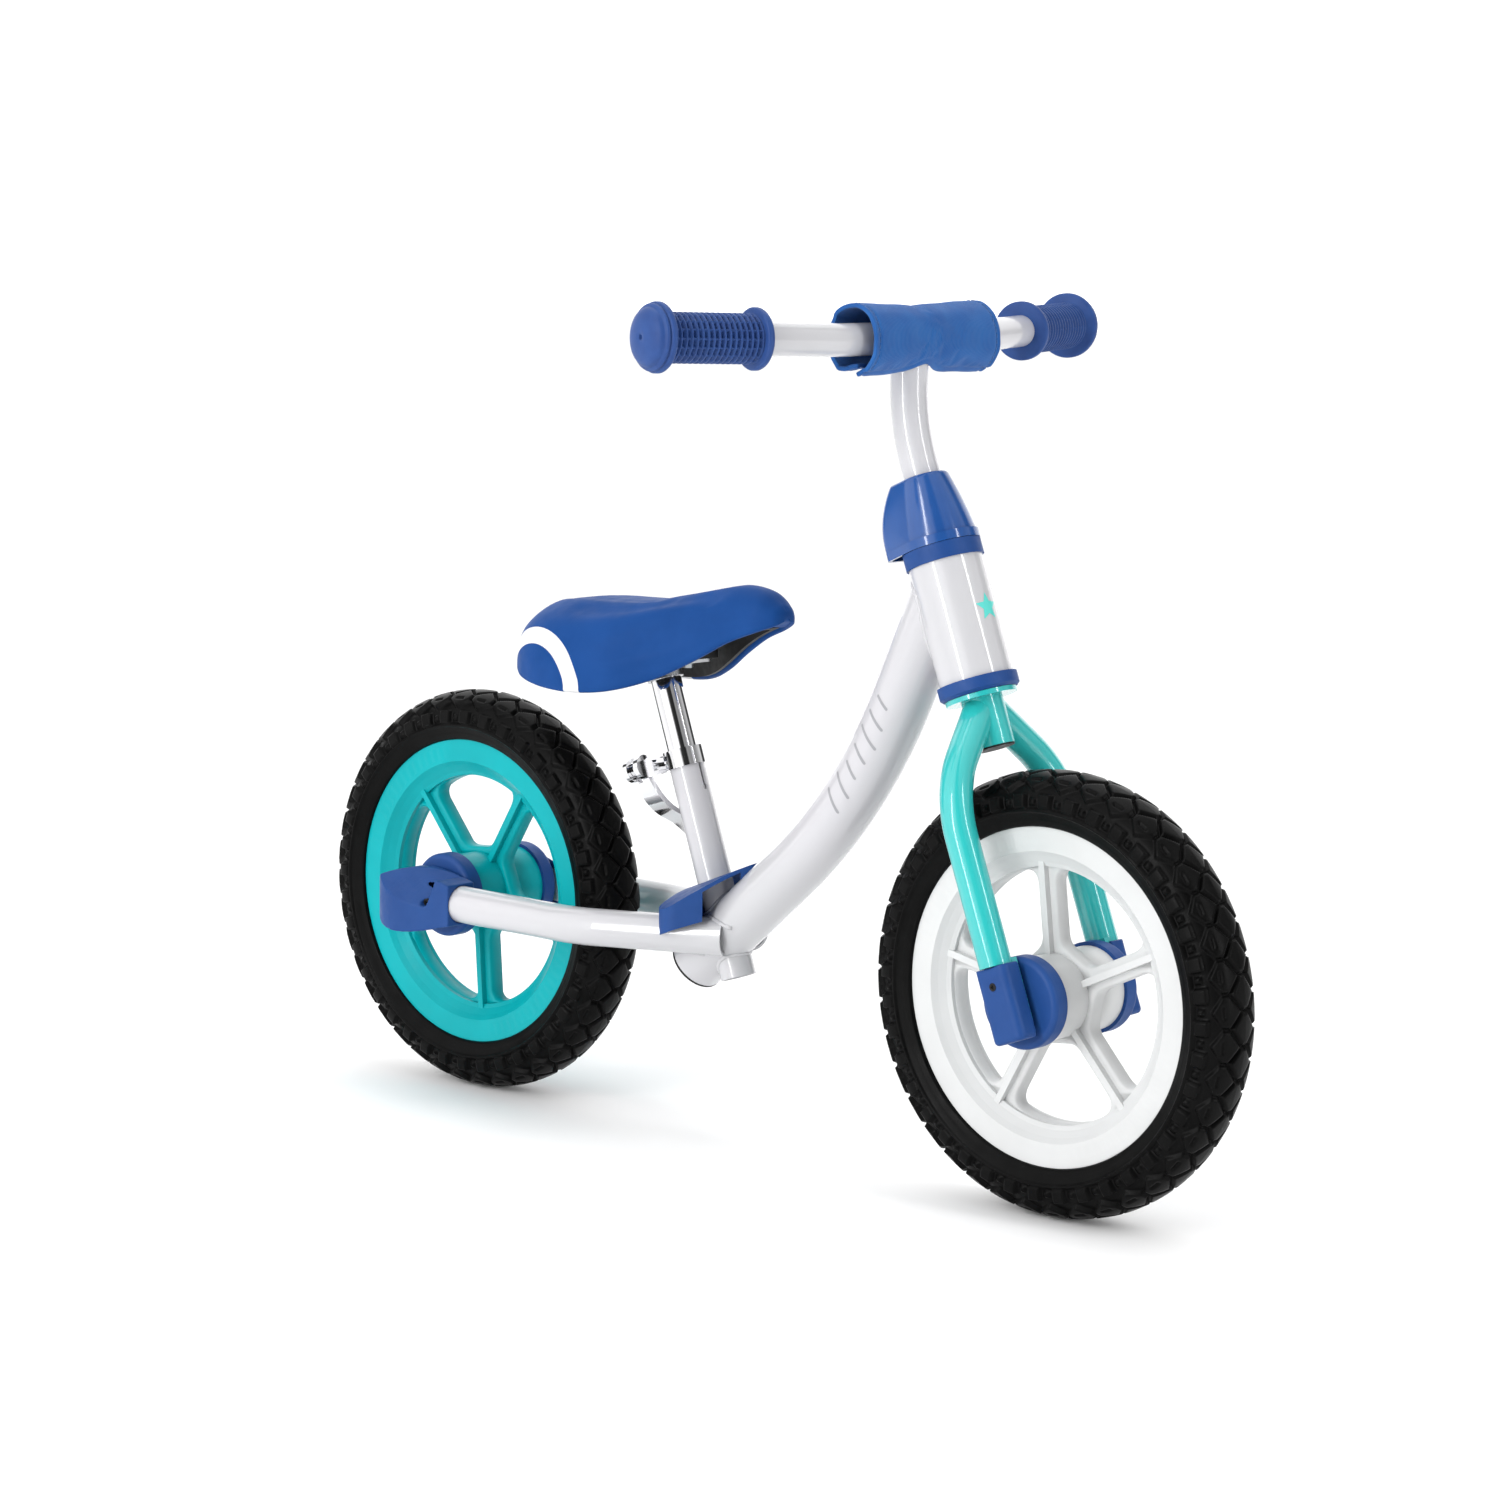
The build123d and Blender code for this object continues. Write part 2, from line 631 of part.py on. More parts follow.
# ---- rear axle covers with ribbed tops -------------------------------------
cover_inner = dropout_inner + 0.8
peg_wall = 2.2
peg_outer = stay_spread + 24.0
peg_front = 38.0
peg_back = 42.0
peg_half_height = 23.0
screw_radius = 1.5
screw_head = 2.7
peg_screw_x = 14.0
groove_count = 8
for side, sign in (("left", 1), ("right", -1)):
    with BuildPart() as rear_cover:
        with BuildSketch(Plane(origin=(rear_x, 0, hub_z - 40))):
            with BuildLine():
                Spline(
                    (peg_front, sign * (stay_spread + stay_od / 2 + 1.6)),
                    (peg_front * 0.35, sign * (peg_outer - 5)),
                    (-peg_back * 0.25, sign * peg_outer),
                    (-peg_back * 0.75, sign * (peg_outer - 6)),
                    (-peg_back, sign * (peg_outer - 18)),
                    (-peg_back + 2, sign * cover_inner),
                )
                Polyline(
                    (-peg_back + 2, sign * cover_inner),
                    (peg_front, sign * cover_inner),
                    (peg_front, sign * (stay_spread + stay_od / 2 + 1.6)),
                )
            make_face()
        extrude(amount=80)
        with BuildSketch(Plane(origin=(rear_x, 0, hub_z), x_dir=(1, 0, 0), z_dir=(0, -1, 0))):
            with BuildLine():
                Spline(
                    (peg_front, stay_od / 2 + 1.6),
                    (peg_front * 0.4, peg_half_height * 0.86),
                    (-peg_back * 0.1, peg_half_height * 0.95),
                    (-peg_back * 0.6, peg_half_height * 0.82),
                    (-peg_back, peg_half_height * 0.36),
                )
                Spline(
                    (-peg_back, -peg_half_height * 0.55),
                    (-peg_back * 0.55, -peg_half_height * 0.95),
                    (0, -peg_half_height),
                    (peg_front * 0.5, -peg_half_height * 0.86),
                    (peg_front, -stay_od / 2 - 1.6),
                )
                Line((-peg_back, peg_half_height * 0.36), (-peg_back, -peg_half_height * 0.55))
                Line((peg_front, -stay_od / 2 - 1.6), (peg_front, stay_od / 2 + 1.6))
            make_face()
        extrude(amount=2 * peg_outer, both=True, mode=Mode.INTERSECT)
        tread = Plane(
            origin=(rear_x - peg_back * 0.15, sign * (peg_outer - 10), hub_z + 9.0),
            x_dir=(0, sign, 0), z_dir=(0.30, sign * 0.62, 0.78))
        with BuildSketch(tread):
            Rectangle(90, 52)
        extrude(amount=40, mode=Mode.SUBTRACT)
        with BuildSketch(tread.offset(-0.8)):
            with GridLocations(3, 3.0, 1, groove_count):
                Rectangle(26, 1.2)
        extrude(amount=4, mode=Mode.SUBTRACT)
        with BuildSketch(Plane(origin=(rear_x + stay_end_x - 3.0 - cover_gap, sign * stay_spread, hub_z),
                               z_dir=(1, 0, 0))):
            Circle(stay_od / 2 + 0.05)
        extrude(amount=40, mode=Mode.SUBTRACT)
        pocket_y = (cover_inner + nut_low + nut_height + axle_end_over + 1.0) / 2
        pocket_d = nut_low + nut_height + axle_end_over + 1.0 - cover_inner
        with BuildSketch(Plane(origin=(rear_x, sign * pocket_y, hub_z - dropout_half - 0.4))):
            with Locations(((stay_end_x - dropout_tail) / 2 - 0.2, 0)):
                Rectangle(stay_end_x + dropout_tail + 0.8, pocket_d + 0.05)
        extrude(amount=2 * dropout_half + 0.8, mode=Mode.SUBTRACT)
        hole = Plane(origin=(rear_x + peg_screw_x, 0, hub_z), x_dir=(1, 0, 0), z_dir=(0, sign, 0))
        with BuildSketch(hole):
            Circle(screw_radius)
        extrude(amount=2 * peg_outer, mode=Mode.SUBTRACT)
        with BuildSketch(hole.offset(stay_spread + 12)):
            Circle(screw_head + 0.2)
        extrude(amount=peg_outer, mode=Mode.SUBTRACT)
    body = rear_cover.part.solids().sort_by(SortBy.VOLUME)[-1]
    cover_part = Part(body.wrapped)
    cover_part.label = f"rear_cover_{side}"
    export_step(cover_part, f"parts/rear_cover_{side}.step")

with BuildPart() as rear_cover_screws:
    for sign in (1, -1):
        hole = Plane(origin=(rear_x + peg_screw_x, 0, hub_z), x_dir=(1, 0, 0), z_dir=(0, sign, 0))
        with BuildSketch(hole.offset(dropout_inner + dropout_thick)):
            Circle(screw_radius)
        extrude(amount=stay_spread + 12 - dropout_inner - dropout_thick)
        with BuildSketch(hole.offset(stay_spread + 12)):
            Circle(screw_head)
            Rectangle(3.2, 0.8, mode=Mode.SUBTRACT)
            Rectangle(0.8, 3.2, mode=Mode.SUBTRACT)
        extrude(amount=2.0)
rear_cover_screws.part.label = "rear_cover_screws"
export_step(rear_cover_screws.part, "parts/rear_cover_screws.step")

# ---- fork ------------------------------------------------------------------
with BuildPart() as steerer_tube:
    with BuildSketch(head_at(steer_low)):
        Circle(steerer_od / 2)
        Circle(steerer_od / 2 - steerer_wall, mode=Mode.SUBTRACT)
    extrude(amount=steer_high - steer_low)
    with BuildSketch(head_at(shroud_low + 2, fore=-steerer_od / 2)):
        Rectangle(steerer_od, 2.5)
    extrude(amount=40, mode=Mode.SUBTRACT)
steerer_tube.part.label = "steerer_tube"
export_step(steerer_tube.part, "parts/steerer_tube.step")

with BuildPart() as steerer_plug:
    with BuildSketch(head_at(steer_low - 1.2)):
        Circle(steerer_od / 2 - 0.5)
    extrude(amount=1.2)
    with BuildSketch(head_at(steer_low)):
        Circle(steerer_od / 2 - steerer_wall)
    extrude(amount=8)
steerer_plug.part.label = "steerer_plug"
export_step(steerer_plug.part, "parts/steerer_plug.step")

crown_radius = steerer_od / 2 + 10.3
blade_root = steerer_od / 2 - 11.3
with BuildPart() as crown_disc:
    with BuildSketch(head_at(disc_low)):
        Circle(crown_radius)
        Circle(steerer_od / 2, mode=Mode.SUBTRACT)
    extrude(amount=disc_thick)
crown_disc.part.label = "crown_disc"
export_step(crown_disc.part, "parts/crown_disc.step")

knee = disc_low - 58.5
for side, sign in (("left", 1), ("right", -1)):
    blade_top = head_at(disc_low - 4.5, side=sign * blade_root).origin
    blade_knee = head_at(knee, side=sign * blade_spread).origin
    blade_low = head_at(blade_end, side=sign * blade_spread).origin
    with BuildPart() as fork_blade:
        with BuildLine() as blade_route:
            FilletPolyline(blade_top, blade_knee, blade_low, radius=blade_bend)
        with BuildSketch(Plane(origin=blade_route.line @ 0, z_dir=blade_route.line % 0)):
            Circle(blade_od / 2)
            Circle(blade_od / 2 - blade_wall, mode=Mode.SUBTRACT)
        sweep()
        with BuildSketch(head_at(steer_low - 5)):
            Circle(steerer_od / 2)
        extrude(amount=80, mode=Mode.SUBTRACT)
        with BuildSketch(head_at(disc_low)):
            Circle(3 * crown_radius)
        extrude(amount=60, mode=Mode.SUBTRACT)
        with BuildSketch(Plane(origin=head_at(disc_low - 20).origin, x_dir=axis_up,
                               z_dir=(0, -sign, 0))):
            Rectangle(120, 90)
        extrude(amount=60, mode=Mode.SUBTRACT)
    body = fork_blade.part.solids().sort_by(SortBy.VOLUME)[-1]
    blade_part = Part(body.wrapped)
    blade_part.label = f"fork_blade_{side}"
    export_step(blade_part, f"parts/fork_blade_{side}.step")

# ---- front axle covers -----------------------------------------------------
tab_wall = 2.0
tab_half = blade_od / 2 + tab_wall + cover_gap
tab_outer = axle_half + 1.0 + tab_wall
tab_high = 27.0
tab_low = 24.0
tab_screw = 14.0
for side, sign in (("left", 1), ("right", -1)):
    with BuildPart() as front_cover:
        mid_y = (cover_inner + 2 + tab_outer) / 2
        deep = tab_outer - cover_inner - 2
        with BuildSketch(head_at(-tab_low, side=sign * mid_y)):
            Rectangle(2 * tab_half, deep)
        extrude(amount=tab_low + tab_high)
        uprights = front_cover.edges().filter_by(line_up((0, 0, 0), axis_up))
        fillet(uprights.group_by(Axis.Y)[-1 if sign > 0 else 0], 6.0)
        bottom = front_cover.edges().filter_by(GeomType.LINE).filter_by(Axis.Y)
        fillet(bottom.sort_by(line_up(front_hub, axis_up))[0:2], 3.0)
        room = axle_half + 1.0 - cover_inner
        with BuildSketch(head_at(-dropout_tail - 4.4, side=sign * (cover_inner + room / 2))):
            Rectangle(blade_od - 1.2 + 2 * cover_gap, room + 0.02)
        extrude(amount=dropout_tail + 4.4 + blade_end, mode=Mode.SUBTRACT)
        with BuildSketch(head_at(blade_end - 3.4, side=sign * blade_spread)):
            Circle(blade_od / 2 + cover_gap)
        extrude(amount=40, mode=Mode.SUBTRACT)
        hole = Plane(origin=head_at(tab_screw).origin, x_dir=axis_fore, z_dir=(0, sign, 0))
        with BuildSketch(hole.offset(dropout_inner)):
            Circle(screw_radius)
        extrude(amount=60, mode=Mode.SUBTRACT)
        with BuildSketch(hole.offset(tab_outer - 1.2)):
            Circle(screw_head + 0.2)
        extrude(amount=10, mode=Mode.SUBTRACT)
    front_cover.part.label = f"front_cover_{side}"
    export_step(front_cover.part, f"parts/front_cover_{side}.step")

with BuildPart() as front_cover_screws:
    for sign in (1, -1):
        hole = Plane(origin=head_at(tab_screw).origin, x_dir=axis_fore, z_dir=(0, sign, 0))
        with BuildSketch(hole.offset(dropout_inner + dropout_thick)):
            Circle(screw_radius)
        extrude(amount=tab_outer - 1.2 - dropout_inner - dropout_thick)
        with BuildSketch(hole.offset(tab_outer - 1.2)):
            Circle(screw_head)
            Rectangle(3.2, 0.8, mode=Mode.SUBTRACT)
            Rectangle(0.8, 3.2, mode=Mode.SUBTRACT)
        extrude(amount=1.0)
front_cover_screws.part.label = "front_cover_screws"
export_step(front_cover_screws.part, "parts/front_cover_screws.step")

# ---- stem clamp, bolt and shroud -------------------------------------------
stem_clamp_low = shroud_low + 6.0
stem_clamp_height = 16.0
stem_clamp_od = 35.0
stem_ear = 27.0
stem_gap = 2.4
stem_bolt_fore = -22.5
with BuildPart() as stem_clamp:
    with BuildSketch(head_at(stem_clamp_low)):
        Circle(stem_clamp_od / 2)
        with Locations((-stem_ear / 2 - 3, 0)):
            Rectangle(stem_ear - 6, 18)
        Circle(steerer_od / 2, mode=Mode.SUBTRACT)
        with Locations((-stem_ear, 0)):
            Rectangle(2 * stem_ear, stem_gap, mode=Mode.SUBTRACT)
    extrude(amount=stem_clamp_height)
    with BuildSketch(Plane(
            origin=head_at(stem_clamp_low + stem_clamp_height / 2, fore=stem_bolt_fore).origin,
            x_dir=axis_fore, z_dir=(0, 1, 0))):
        Circle(2.5)
    extrude(amount=40, both=True, mode=Mode.SUBTRACT)
stem_clamp.part.label = "stem_clamp"
export_step(stem_clamp.part, "parts/stem_clamp.step")

with BuildPart() as stem_clamp_bolt:
    bolt_plane = Plane(
        origin=head_at(stem_clamp_low + stem_clamp_height / 2, fore=stem_bolt_fore).origin,
        x_dir=axis_fore, z_dir=(0, 1, 0))
    with BuildSketch(bolt_plane.offset(-9.0)):
        Circle(2.5)
    extrude(amount=21.0)
    with BuildSketch(bolt_plane.offset(-13.5)):
        Circle(4.2)
    extrude(amount=4.5)
    with BuildSketch(bolt_plane.offset(-13.5)):
        RegularPolygon(2.0, 6, major_radius=False)
    extrude(amount=2.5, mode=Mode.SUBTRACT)
    with BuildSketch(bolt_plane.offset(9.0)):
        RegularPolygon(4.0, 6, major_radius=False)
        Circle(2.5, mode=Mode.SUBTRACT)
    extrude(amount=4.0)
stem_clamp_bolt.part.label = "stem_clamp_bolt"
export_step(stem_clamp_bolt.part, "parts/stem_clamp_bolt.step")

shroud_height = 49.0
shroud_wall = 2.2
shroud_sections = (
    (0.0, 26.6, -26.5, 8.0, 12.5),
    (26.0, 22.6, -25.5, 8.0, 10.5),
    (49.0, 17.0, -14.5, 6.5, 7.5),
)
sleeve_high = 10.0


def shroud_outline(front, rear_at, corner, half, shrink):
    """Round front and a rear tongue with two rounded corners, as one hull."""
    Circle(front - shrink)
    with Locations((rear_at, half), (rear_at, -half)):
        Circle(corner - shrink)
    make_hull()


def shroud_body(shrink, drop):
    """Smooth body through the three sections, drawn in by a wall."""
    with BuildPart() as body:
        for along, front, rear_at, corner, half in shroud_sections:
            level = shroud_low + along * (shroud_height - drop) / shroud_height
            with BuildSketch(head_at(level)):
                shroud_outline(front, rear_at, corner, half, shrink)
        loft()
    return body.part


with BuildPart() as stem_shroud:
    add(shroud_body(0.0, 0.0))
    top_face = stem_shroud.faces().sort_by(line_up(front_hub, axis_up))[-1]
    fillet(top_face.edges(), 3.0)
    with BuildSketch(head_at(shroud_low)):
        shroud_outline(27.2, -26.5, 8.6, 12.5, 0.0)
    extrude(amount=6.0)
    add(shroud_body(shroud_wall, shroud_wall), mode=Mode.SUBTRACT)
    with BuildSketch(head_at(stem_clamp_low + stem_clamp_height)):
        Circle(steerer_od / 2 + shroud_wall)
    extrude(amount=shroud_height - stem_clamp_height - 8.0)
    with BuildSketch(head_at(shroud_low)):
        Circle(steerer_od / 2)
    extrude(amount=steer_high - shroud_low, mode=Mode.SUBTRACT)
    with BuildSketch(head_at(shroud_low)):
        Circle(stem_od / 2 + slide_gap)
    extrude(amount=2 * shroud_height, mode=Mode.SUBTRACT)
stem_shroud.part.label = "stem_shroud"
export_step(stem_shroud.part, "parts/stem_shroud.step")

# ---- handlebar -------------------------------------------------------------
bar_centre_y = 75.0
bar_sweep = 13.3
bar_bend = 60.0
stem_bend = 150.0
stem_insert = 75.0
stem_x = front_x - 142.1
stem_meet = (front_x - stem_x) / sin(lean)
stem_knee = front_hub + axis_up * stem_meet
bar_end_in = 6.0
arm = bar_half_width - bar_end_in - bar_centre_y
tip_x = stem_x - arm * tan(radians(bar_sweep))
bar_points = (
    Vector(tip_x, -bar_centre_y - arm, bar_height + bar_rise),
    Vector(stem_x, -bar_centre_y, bar_height),
    Vector(stem_x, bar_centre_y, bar_height),
    Vector(tip_x, bar_centre_y + arm, bar_height + bar_rise),
)
with BuildPart() as crossbar:
    with BuildLine() as bar_route:
        FilletPolyline(*bar_points, radius=bar_bend)
    with BuildSketch(Plane(origin=bar_route.line @ 0, z_dir=bar_route.line % 0)):
        Circle(bar_od / 2)
        Circle(bar_od / 2 - bar_wall, mode=Mode.SUBTRACT)
    sweep()
crossbar.part.label = "crossbar"
export_step(crossbar.part, "parts/crossbar.step")

with BuildPart() as stem_tube:
    with BuildLine() as stem_route:
        FilletPolyline(
            front_hub + axis_up * (shroud_low - stem_insert),
            stem_knee,
            Vector(stem_x, 0, bar_height),
            radius=stem_bend,
        )
    with BuildSketch(Plane(origin=stem_route.line @ 0, z_dir=axis_up)):
        Circle(stem_od / 2)
        Circle(stem_od / 2 - stem_wall, mode=Mode.SUBTRACT)
    sweep()
    with BuildSketch(Plane(origin=(stem_x, -stem_od, bar_height), z_dir=(0, 1, 0))):
        Circle(bar_od / 2)
    extrude(amount=2 * stem_od, mode=Mode.SUBTRACT)
stem_tube.part.label = "stem_tube"
export_step(stem_tube.part, "parts/stem_tube.step")

grip_length = 91.0
grip_flange = 20.6
grip_flange_thick = 5.0
grip_barrel = 16.2
grip_ring = 23.0
grip_ring_at = 76.0
grip_ring_thick = 8.0
grip_ring_round = 3.4
grip_tip_over = 1.5
grip_tip_round = 6.0
grip_hole = 1.8
grip_cap = 6.5


def grip_ring_body(at):
    """The raised ring near the closed end of a grip."""
    with BuildPart() as ring:
        with BuildSketch(at.offset(grip_ring_at)):
            Circle(grip_ring)
        extrude(amount=grip_ring_thick)
        fillet(ring.edges().filter_by(GeomType.CIRCLE), grip_ring_round)
    return ring.part


def grip_tip_body(at):
    """The domed end of a grip, beyond its ring."""
    with BuildPart() as tip:
        with BuildSketch(at.offset(grip_ring_at + 1)):
            Circle(grip_barrel + grip_tip_over)
        extrude(amount=grip_length - grip_ring_at - 1)
        rims = tip.edges().filter_by(GeomType.CIRCLE)
        fillet(rims.sort_by(line_up(at.origin, at.z_dir))[-1], grip_tip_round)
    return tip.part


for side, sign in (("left", 1), ("right", -1)):
    out = (bar_points[3] - bar_points[2]) if sign > 0 else (bar_points[0] - bar_points[1])
    out = out.normalized()
    end = bar_points[3] if sign > 0 else bar_points[0]
    grip_at = Plane(origin=end + out * grip_cap - out * grip_length, x_dir=(0, 0, 1), z_dir=out)
    with BuildPart() as grip:
        with BuildSketch(grip_at):
            Circle(grip_flange)
        extrude(amount=grip_flange_thick)
        fillet(grip.edges().filter_by(GeomType.CIRCLE), 2.0)
        with BuildSketch(grip_at.offset(grip_flange_thick / 2)):
            Circle(grip_barrel)
        extrude(amount=grip_ring_at)
        add(grip_ring_body(grip_at))
        add(grip_tip_body(grip_at))
        with BuildSketch(grip_at):
            Circle(bar_od / 2)
        extrude(amount=grip_length - grip_cap, mode=Mode.SUBTRACT)
        with BuildSketch(grip_at):
            Circle(grip_hole)
        extrude(amount=grip_length + 5, mode=Mode.SUBTRACT)
    grip.part.label = f"grip_{side}"
    export_step(grip.part, f"parts/grip_{side}.step")

pad_half = 64.0
pad_offset = 5.0
pad_fore = 44.0
pad_high = 46.0
pad_corner = 17.0
with BuildPart() as handlebar_pad:
    pad_end = (stem_x - 1, pad_offset - pad_half, bar_height)
    with BuildSketch(Plane(origin=pad_end, x_dir=(1, 0, 0), z_dir=(0, 1, 0))):
        RectangleRounded(pad_fore, pad_high, pad_corner)
    extrude(amount=2 * pad_half)
    with BuildLine() as pad_route:
        FilletPolyline(*bar_points, radius=bar_bend)
    with BuildSketch(Plane(origin=pad_route.line @ 0, z_dir=pad_route.line % 0)):
        Circle(bar_od / 2 + soft_gap)
    sweep(mode=Mode.SUBTRACT)
    with BuildSketch(Plane(origin=(stem_x, 0, bar_height - pad_high))):
        Circle(stem_od / 2 + soft_gap)
    extrude(amount=pad_high, mode=Mode.SUBTRACT)
handlebar_pad.part.label = "handlebar_pad"
export_step(handlebar_pad.part, "parts/handlebar_pad.step")

# ---- seat clamp ------------------------------------------------------------
clamp_od = seat_tube_od + 5.0
ear_reach = seat_tube_od / 2 + 13.8
ear_half = 8.5
ear_slit = 2.0
bolt_back = seat_tube_od / 2 + 8.8
bolt_radius = 3.0
pin_side = seat_tube_od / 2 + 14.3
drum_radius = 8.6
drum_width = 15.0
eye_width = 6.4
clamp_mid = clamp_low + clamp_height / 2
bolt_line = Plane(origin=post_at(clamp_mid, fore=-bolt_back).origin, x_dir=post_fore, z_dir=(0, 1, 0))
with BuildPart() as seat_clamp:
    with BuildSketch(post_at(clamp_low)):
        Circle(clamp_od / 2)
        with Locations((-ear_reach / 2 - 3, 0)):
            Rectangle(ear_reach - 6, 2 * ear_half)
        Circle(seat_tube_od / 2, mode=Mode.SUBTRACT)
        with Locations((-ear_reach, 0)):
            Rectangle(2 * ear_reach, ear_slit, mode=Mode.SUBTRACT)
    extrude(amount=clamp_height)
    ear_edges = seat_clamp.edges().filter_by(Axis.Y).sort_by(line_up(seat_foot, -post_fore))[-4:]
    fillet(ear_edges, 5.2)
    with BuildSketch(bolt_line):
        Circle(bolt_radius)
    extrude(amount=30, both=True, mode=Mode.SUBTRACT)
seat_clamp.part.label = "seat_clamp"
export_step(seat_clamp.part, "parts/seat_clamp.step")

with BuildPart() as clamp_bolt:
    with BuildSketch(bolt_line.offset(-pin_side)):
        Circle(bolt_radius)
    extrude(amount=pin_side + ear_half + 7.0)
    with BuildSketch(Plane(origin=bolt_line.offset(-pin_side).origin - post_fore * eye_width / 2,
                           x_dir=(0, 1, 0), z_dir=post_fore)):
        Circle(5.2)
    extrude(amount=eye_width)
    with BuildSketch(Plane(origin=bolt_line.offset(-pin_side).origin - post_fore * drum_width / 2,
                           x_dir=(0, 1, 0), z_dir=post_fore)):
        Circle(bolt_radius - 0.2)
    extrude(amount=drum_width, mode=Mode.SUBTRACT)
clamp_bolt.part.label = "clamp_bolt"
export_step(clamp_bolt.part, "parts/clamp_bolt.step")

with BuildPart() as clamp_nut:
    with BuildSketch(bolt_line.offset(ear_half)):
        Circle(6.5)
        Circle(bolt_radius, mode=Mode.SUBTRACT)
    extrude(amount=6.0)
    with BuildSketch(bolt_line.offset(-pin_side + drum_radius + run_gap)):
        Circle(5.6)
        Circle(bolt_radius, mode=Mode.SUBTRACT)
    extrude(amount=pin_side - drum_radius - run_gap - ear_half)
clamp_nut.part.label = "clamp_nut_and_washer"
export_step(clamp_nut.part, "parts/clamp_nut_and_washer.step")

pin_radius = bolt_radius - 0.2
with BuildPart() as cam_pin:
    with BuildSketch(Plane(origin=bolt_line.offset(-pin_side).origin - post_fore * drum_width / 2,
                           x_dir=(0, 1, 0), z_dir=post_fore)):
        Circle(pin_radius)
    extrude(amount=drum_width)
cam_pin.part.label = "cam_pin"
export_step(cam_pin.part, "parts/cam_pin.step")

# the lever is drawn in the plane square to its pin: y across, z down the post
lever_thick = 4.2
lever_plane = Plane(origin=bolt_line.offset(-pin_side).origin - post_fore * drum_width / 2,
                    x_dir=(0, 1, 0), z_dir=post_fore)
lever_line = (
    (0.0, 0.0), (3.5, -11.0), (9.5, -23.0), (19.0, -33.0),
    (30.0, -39.5), (37.0, -45.5), (43.0, -52.0),
)
with BuildPart() as quick_release_lever:
    with BuildSketch(lever_plane):
        with BuildLine():
            upper = [Vector(y + 1.9, z + 0.9) for y, z in lever_line]
            lower = [Vector(y - 1.9, z - 0.9) for y, z in lever_line]
            Spline(*upper)
            Spline(*lower)
            Line(upper[0], lower[0])
            ThreePointArc(upper[-1], (upper[-1] + lower[-1]) / 2 + Vector(1.3, -1.9), lower[-1])
        make_face()
    extrude(amount=drum_width)
    with BuildSketch(lever_plane):
        Circle(drum_radius)
    extrude(amount=drum_width)
    with BuildSketch(lever_plane.offset(drum_width / 2 - eye_width / 2 - run_gap)):
        Circle(drum_radius + 1.5)
    extrude(amount=eye_width + 2 * run_gap, mode=Mode.SUBTRACT)
    with BuildSketch(lever_plane):
        Circle(pin_radius + 0.15)
    extrude(amount=drum_width, mode=Mode.SUBTRACT)
quick_release_lever.part.label = "quick_release_lever"
export_step(quick_release_lever.part, "parts/quick_release_lever.step")

# ---- seat post and saddle --------------------------------------------------
post_od = seat_tube_od - 2 * seat_tube_wall - 2 * slide_gap
post_exposed = 62.0
post_insert = 110.0
with BuildPart() as seat_post:
    with BuildSketch(post_at(seat_top - post_insert)):
        Circle(post_od / 2)
        Circle(post_od / 2 - post_wall, mode=Mode.SUBTRACT)
    extrude(amount=post_insert + post_exposed)
seat_post.part.label = "seat_post"
export_step(seat_post.part, "parts/seat_post.step")

post_head = post_at(seat_top + post_exposed).origin
saddle_x = seat_foot.X - 70.0
saddle_z = post_head.Z - 17.0
# stations: distance forward, half width, top height, edge height
saddle_stations = (
    (-114.0, 24.0, 35.0, 17.0),
    (-104.0, 39.0, 46.0, 10.5),
    (-86.0, 52.5, 56.5, 6.0),
    (-60.0, 60.5, 62.0, 2.5),
    (-28.0, 62.0, 63.0, 2.0),
    (2.0, 55.0, 65.0, 5.5),
    (32.0, 41.0, 70.0, 15.5),
    (60.0, 29.0, 76.5, 30.5),
    (84.0, 23.5, 81.0, 44.0),
    (105.0, 19.5, 78.5, 52.5),
    (118.0, 12.0, 70.5, 58.5),
)


def saddle_arch(half, top, low):
    """Crowned section: a rounded arch closed by a straight lower edge."""
    rise = top - low
    points = [(-half, low), (-half * 0.985, low + rise * 0.34), (-half * 0.80, low + rise * 0.72),
              (-half * 0.42, low + rise * 0.95), (0, top),
              (half * 0.42, low + rise * 0.95), (half * 0.80, low + rise * 0.72),
              (half * 0.985, low + rise * 0.34), (half, low)]
    Spline(*points)
    Line(points[-1], points[0])


def saddle_body(side_wall, top_wall, sink, first, last, short=0.0):
    """Loft through the stations, drawn in by the given walls."""
    picked = saddle_stations[first:last]
    with BuildPart() as body:
        for number, (along, half, top, low) in enumerate(picked):
            if number == 0:
                along += short
            if number == len(picked) - 1:
                along -= short
            plane = Plane(origin=(saddle_x + along, 0, saddle_z), x_dir=(0, 1, 0), z_dir=(1, 0, 0))
            with BuildSketch(plane):
                with BuildLine():
                    saddle_arch(half - side_wall, top - top_wall, low - sink)
                make_face()
        loft()
    return body.part


cushion_side = 7.0
cushion_top = 20.0
base_wall = 4.0
cushion_outer = saddle_body(0.0, 0.0, 0.0, 0, 11)
cushion_inner = saddle_body(cushion_side, cushion_top, 6.0, 1, 10)
base_inner = saddle_body(cushion_side + base_wall, cushion_top + base_wall, 12.0, 1, 10, base_wall)
base_fit = saddle_body(cushion_side + soft_gap, cushion_top + soft_gap, 6.0, 1, 10, soft_gap)

with BuildPart() as saddle_cushion:
    add(cushion_outer)
    add(cushion_inner, mode=Mode.SUBTRACT)
saddle_cushion.part.label = "saddle_cushion"
export_step(saddle_cushion.part, "parts/saddle_cushion.step")

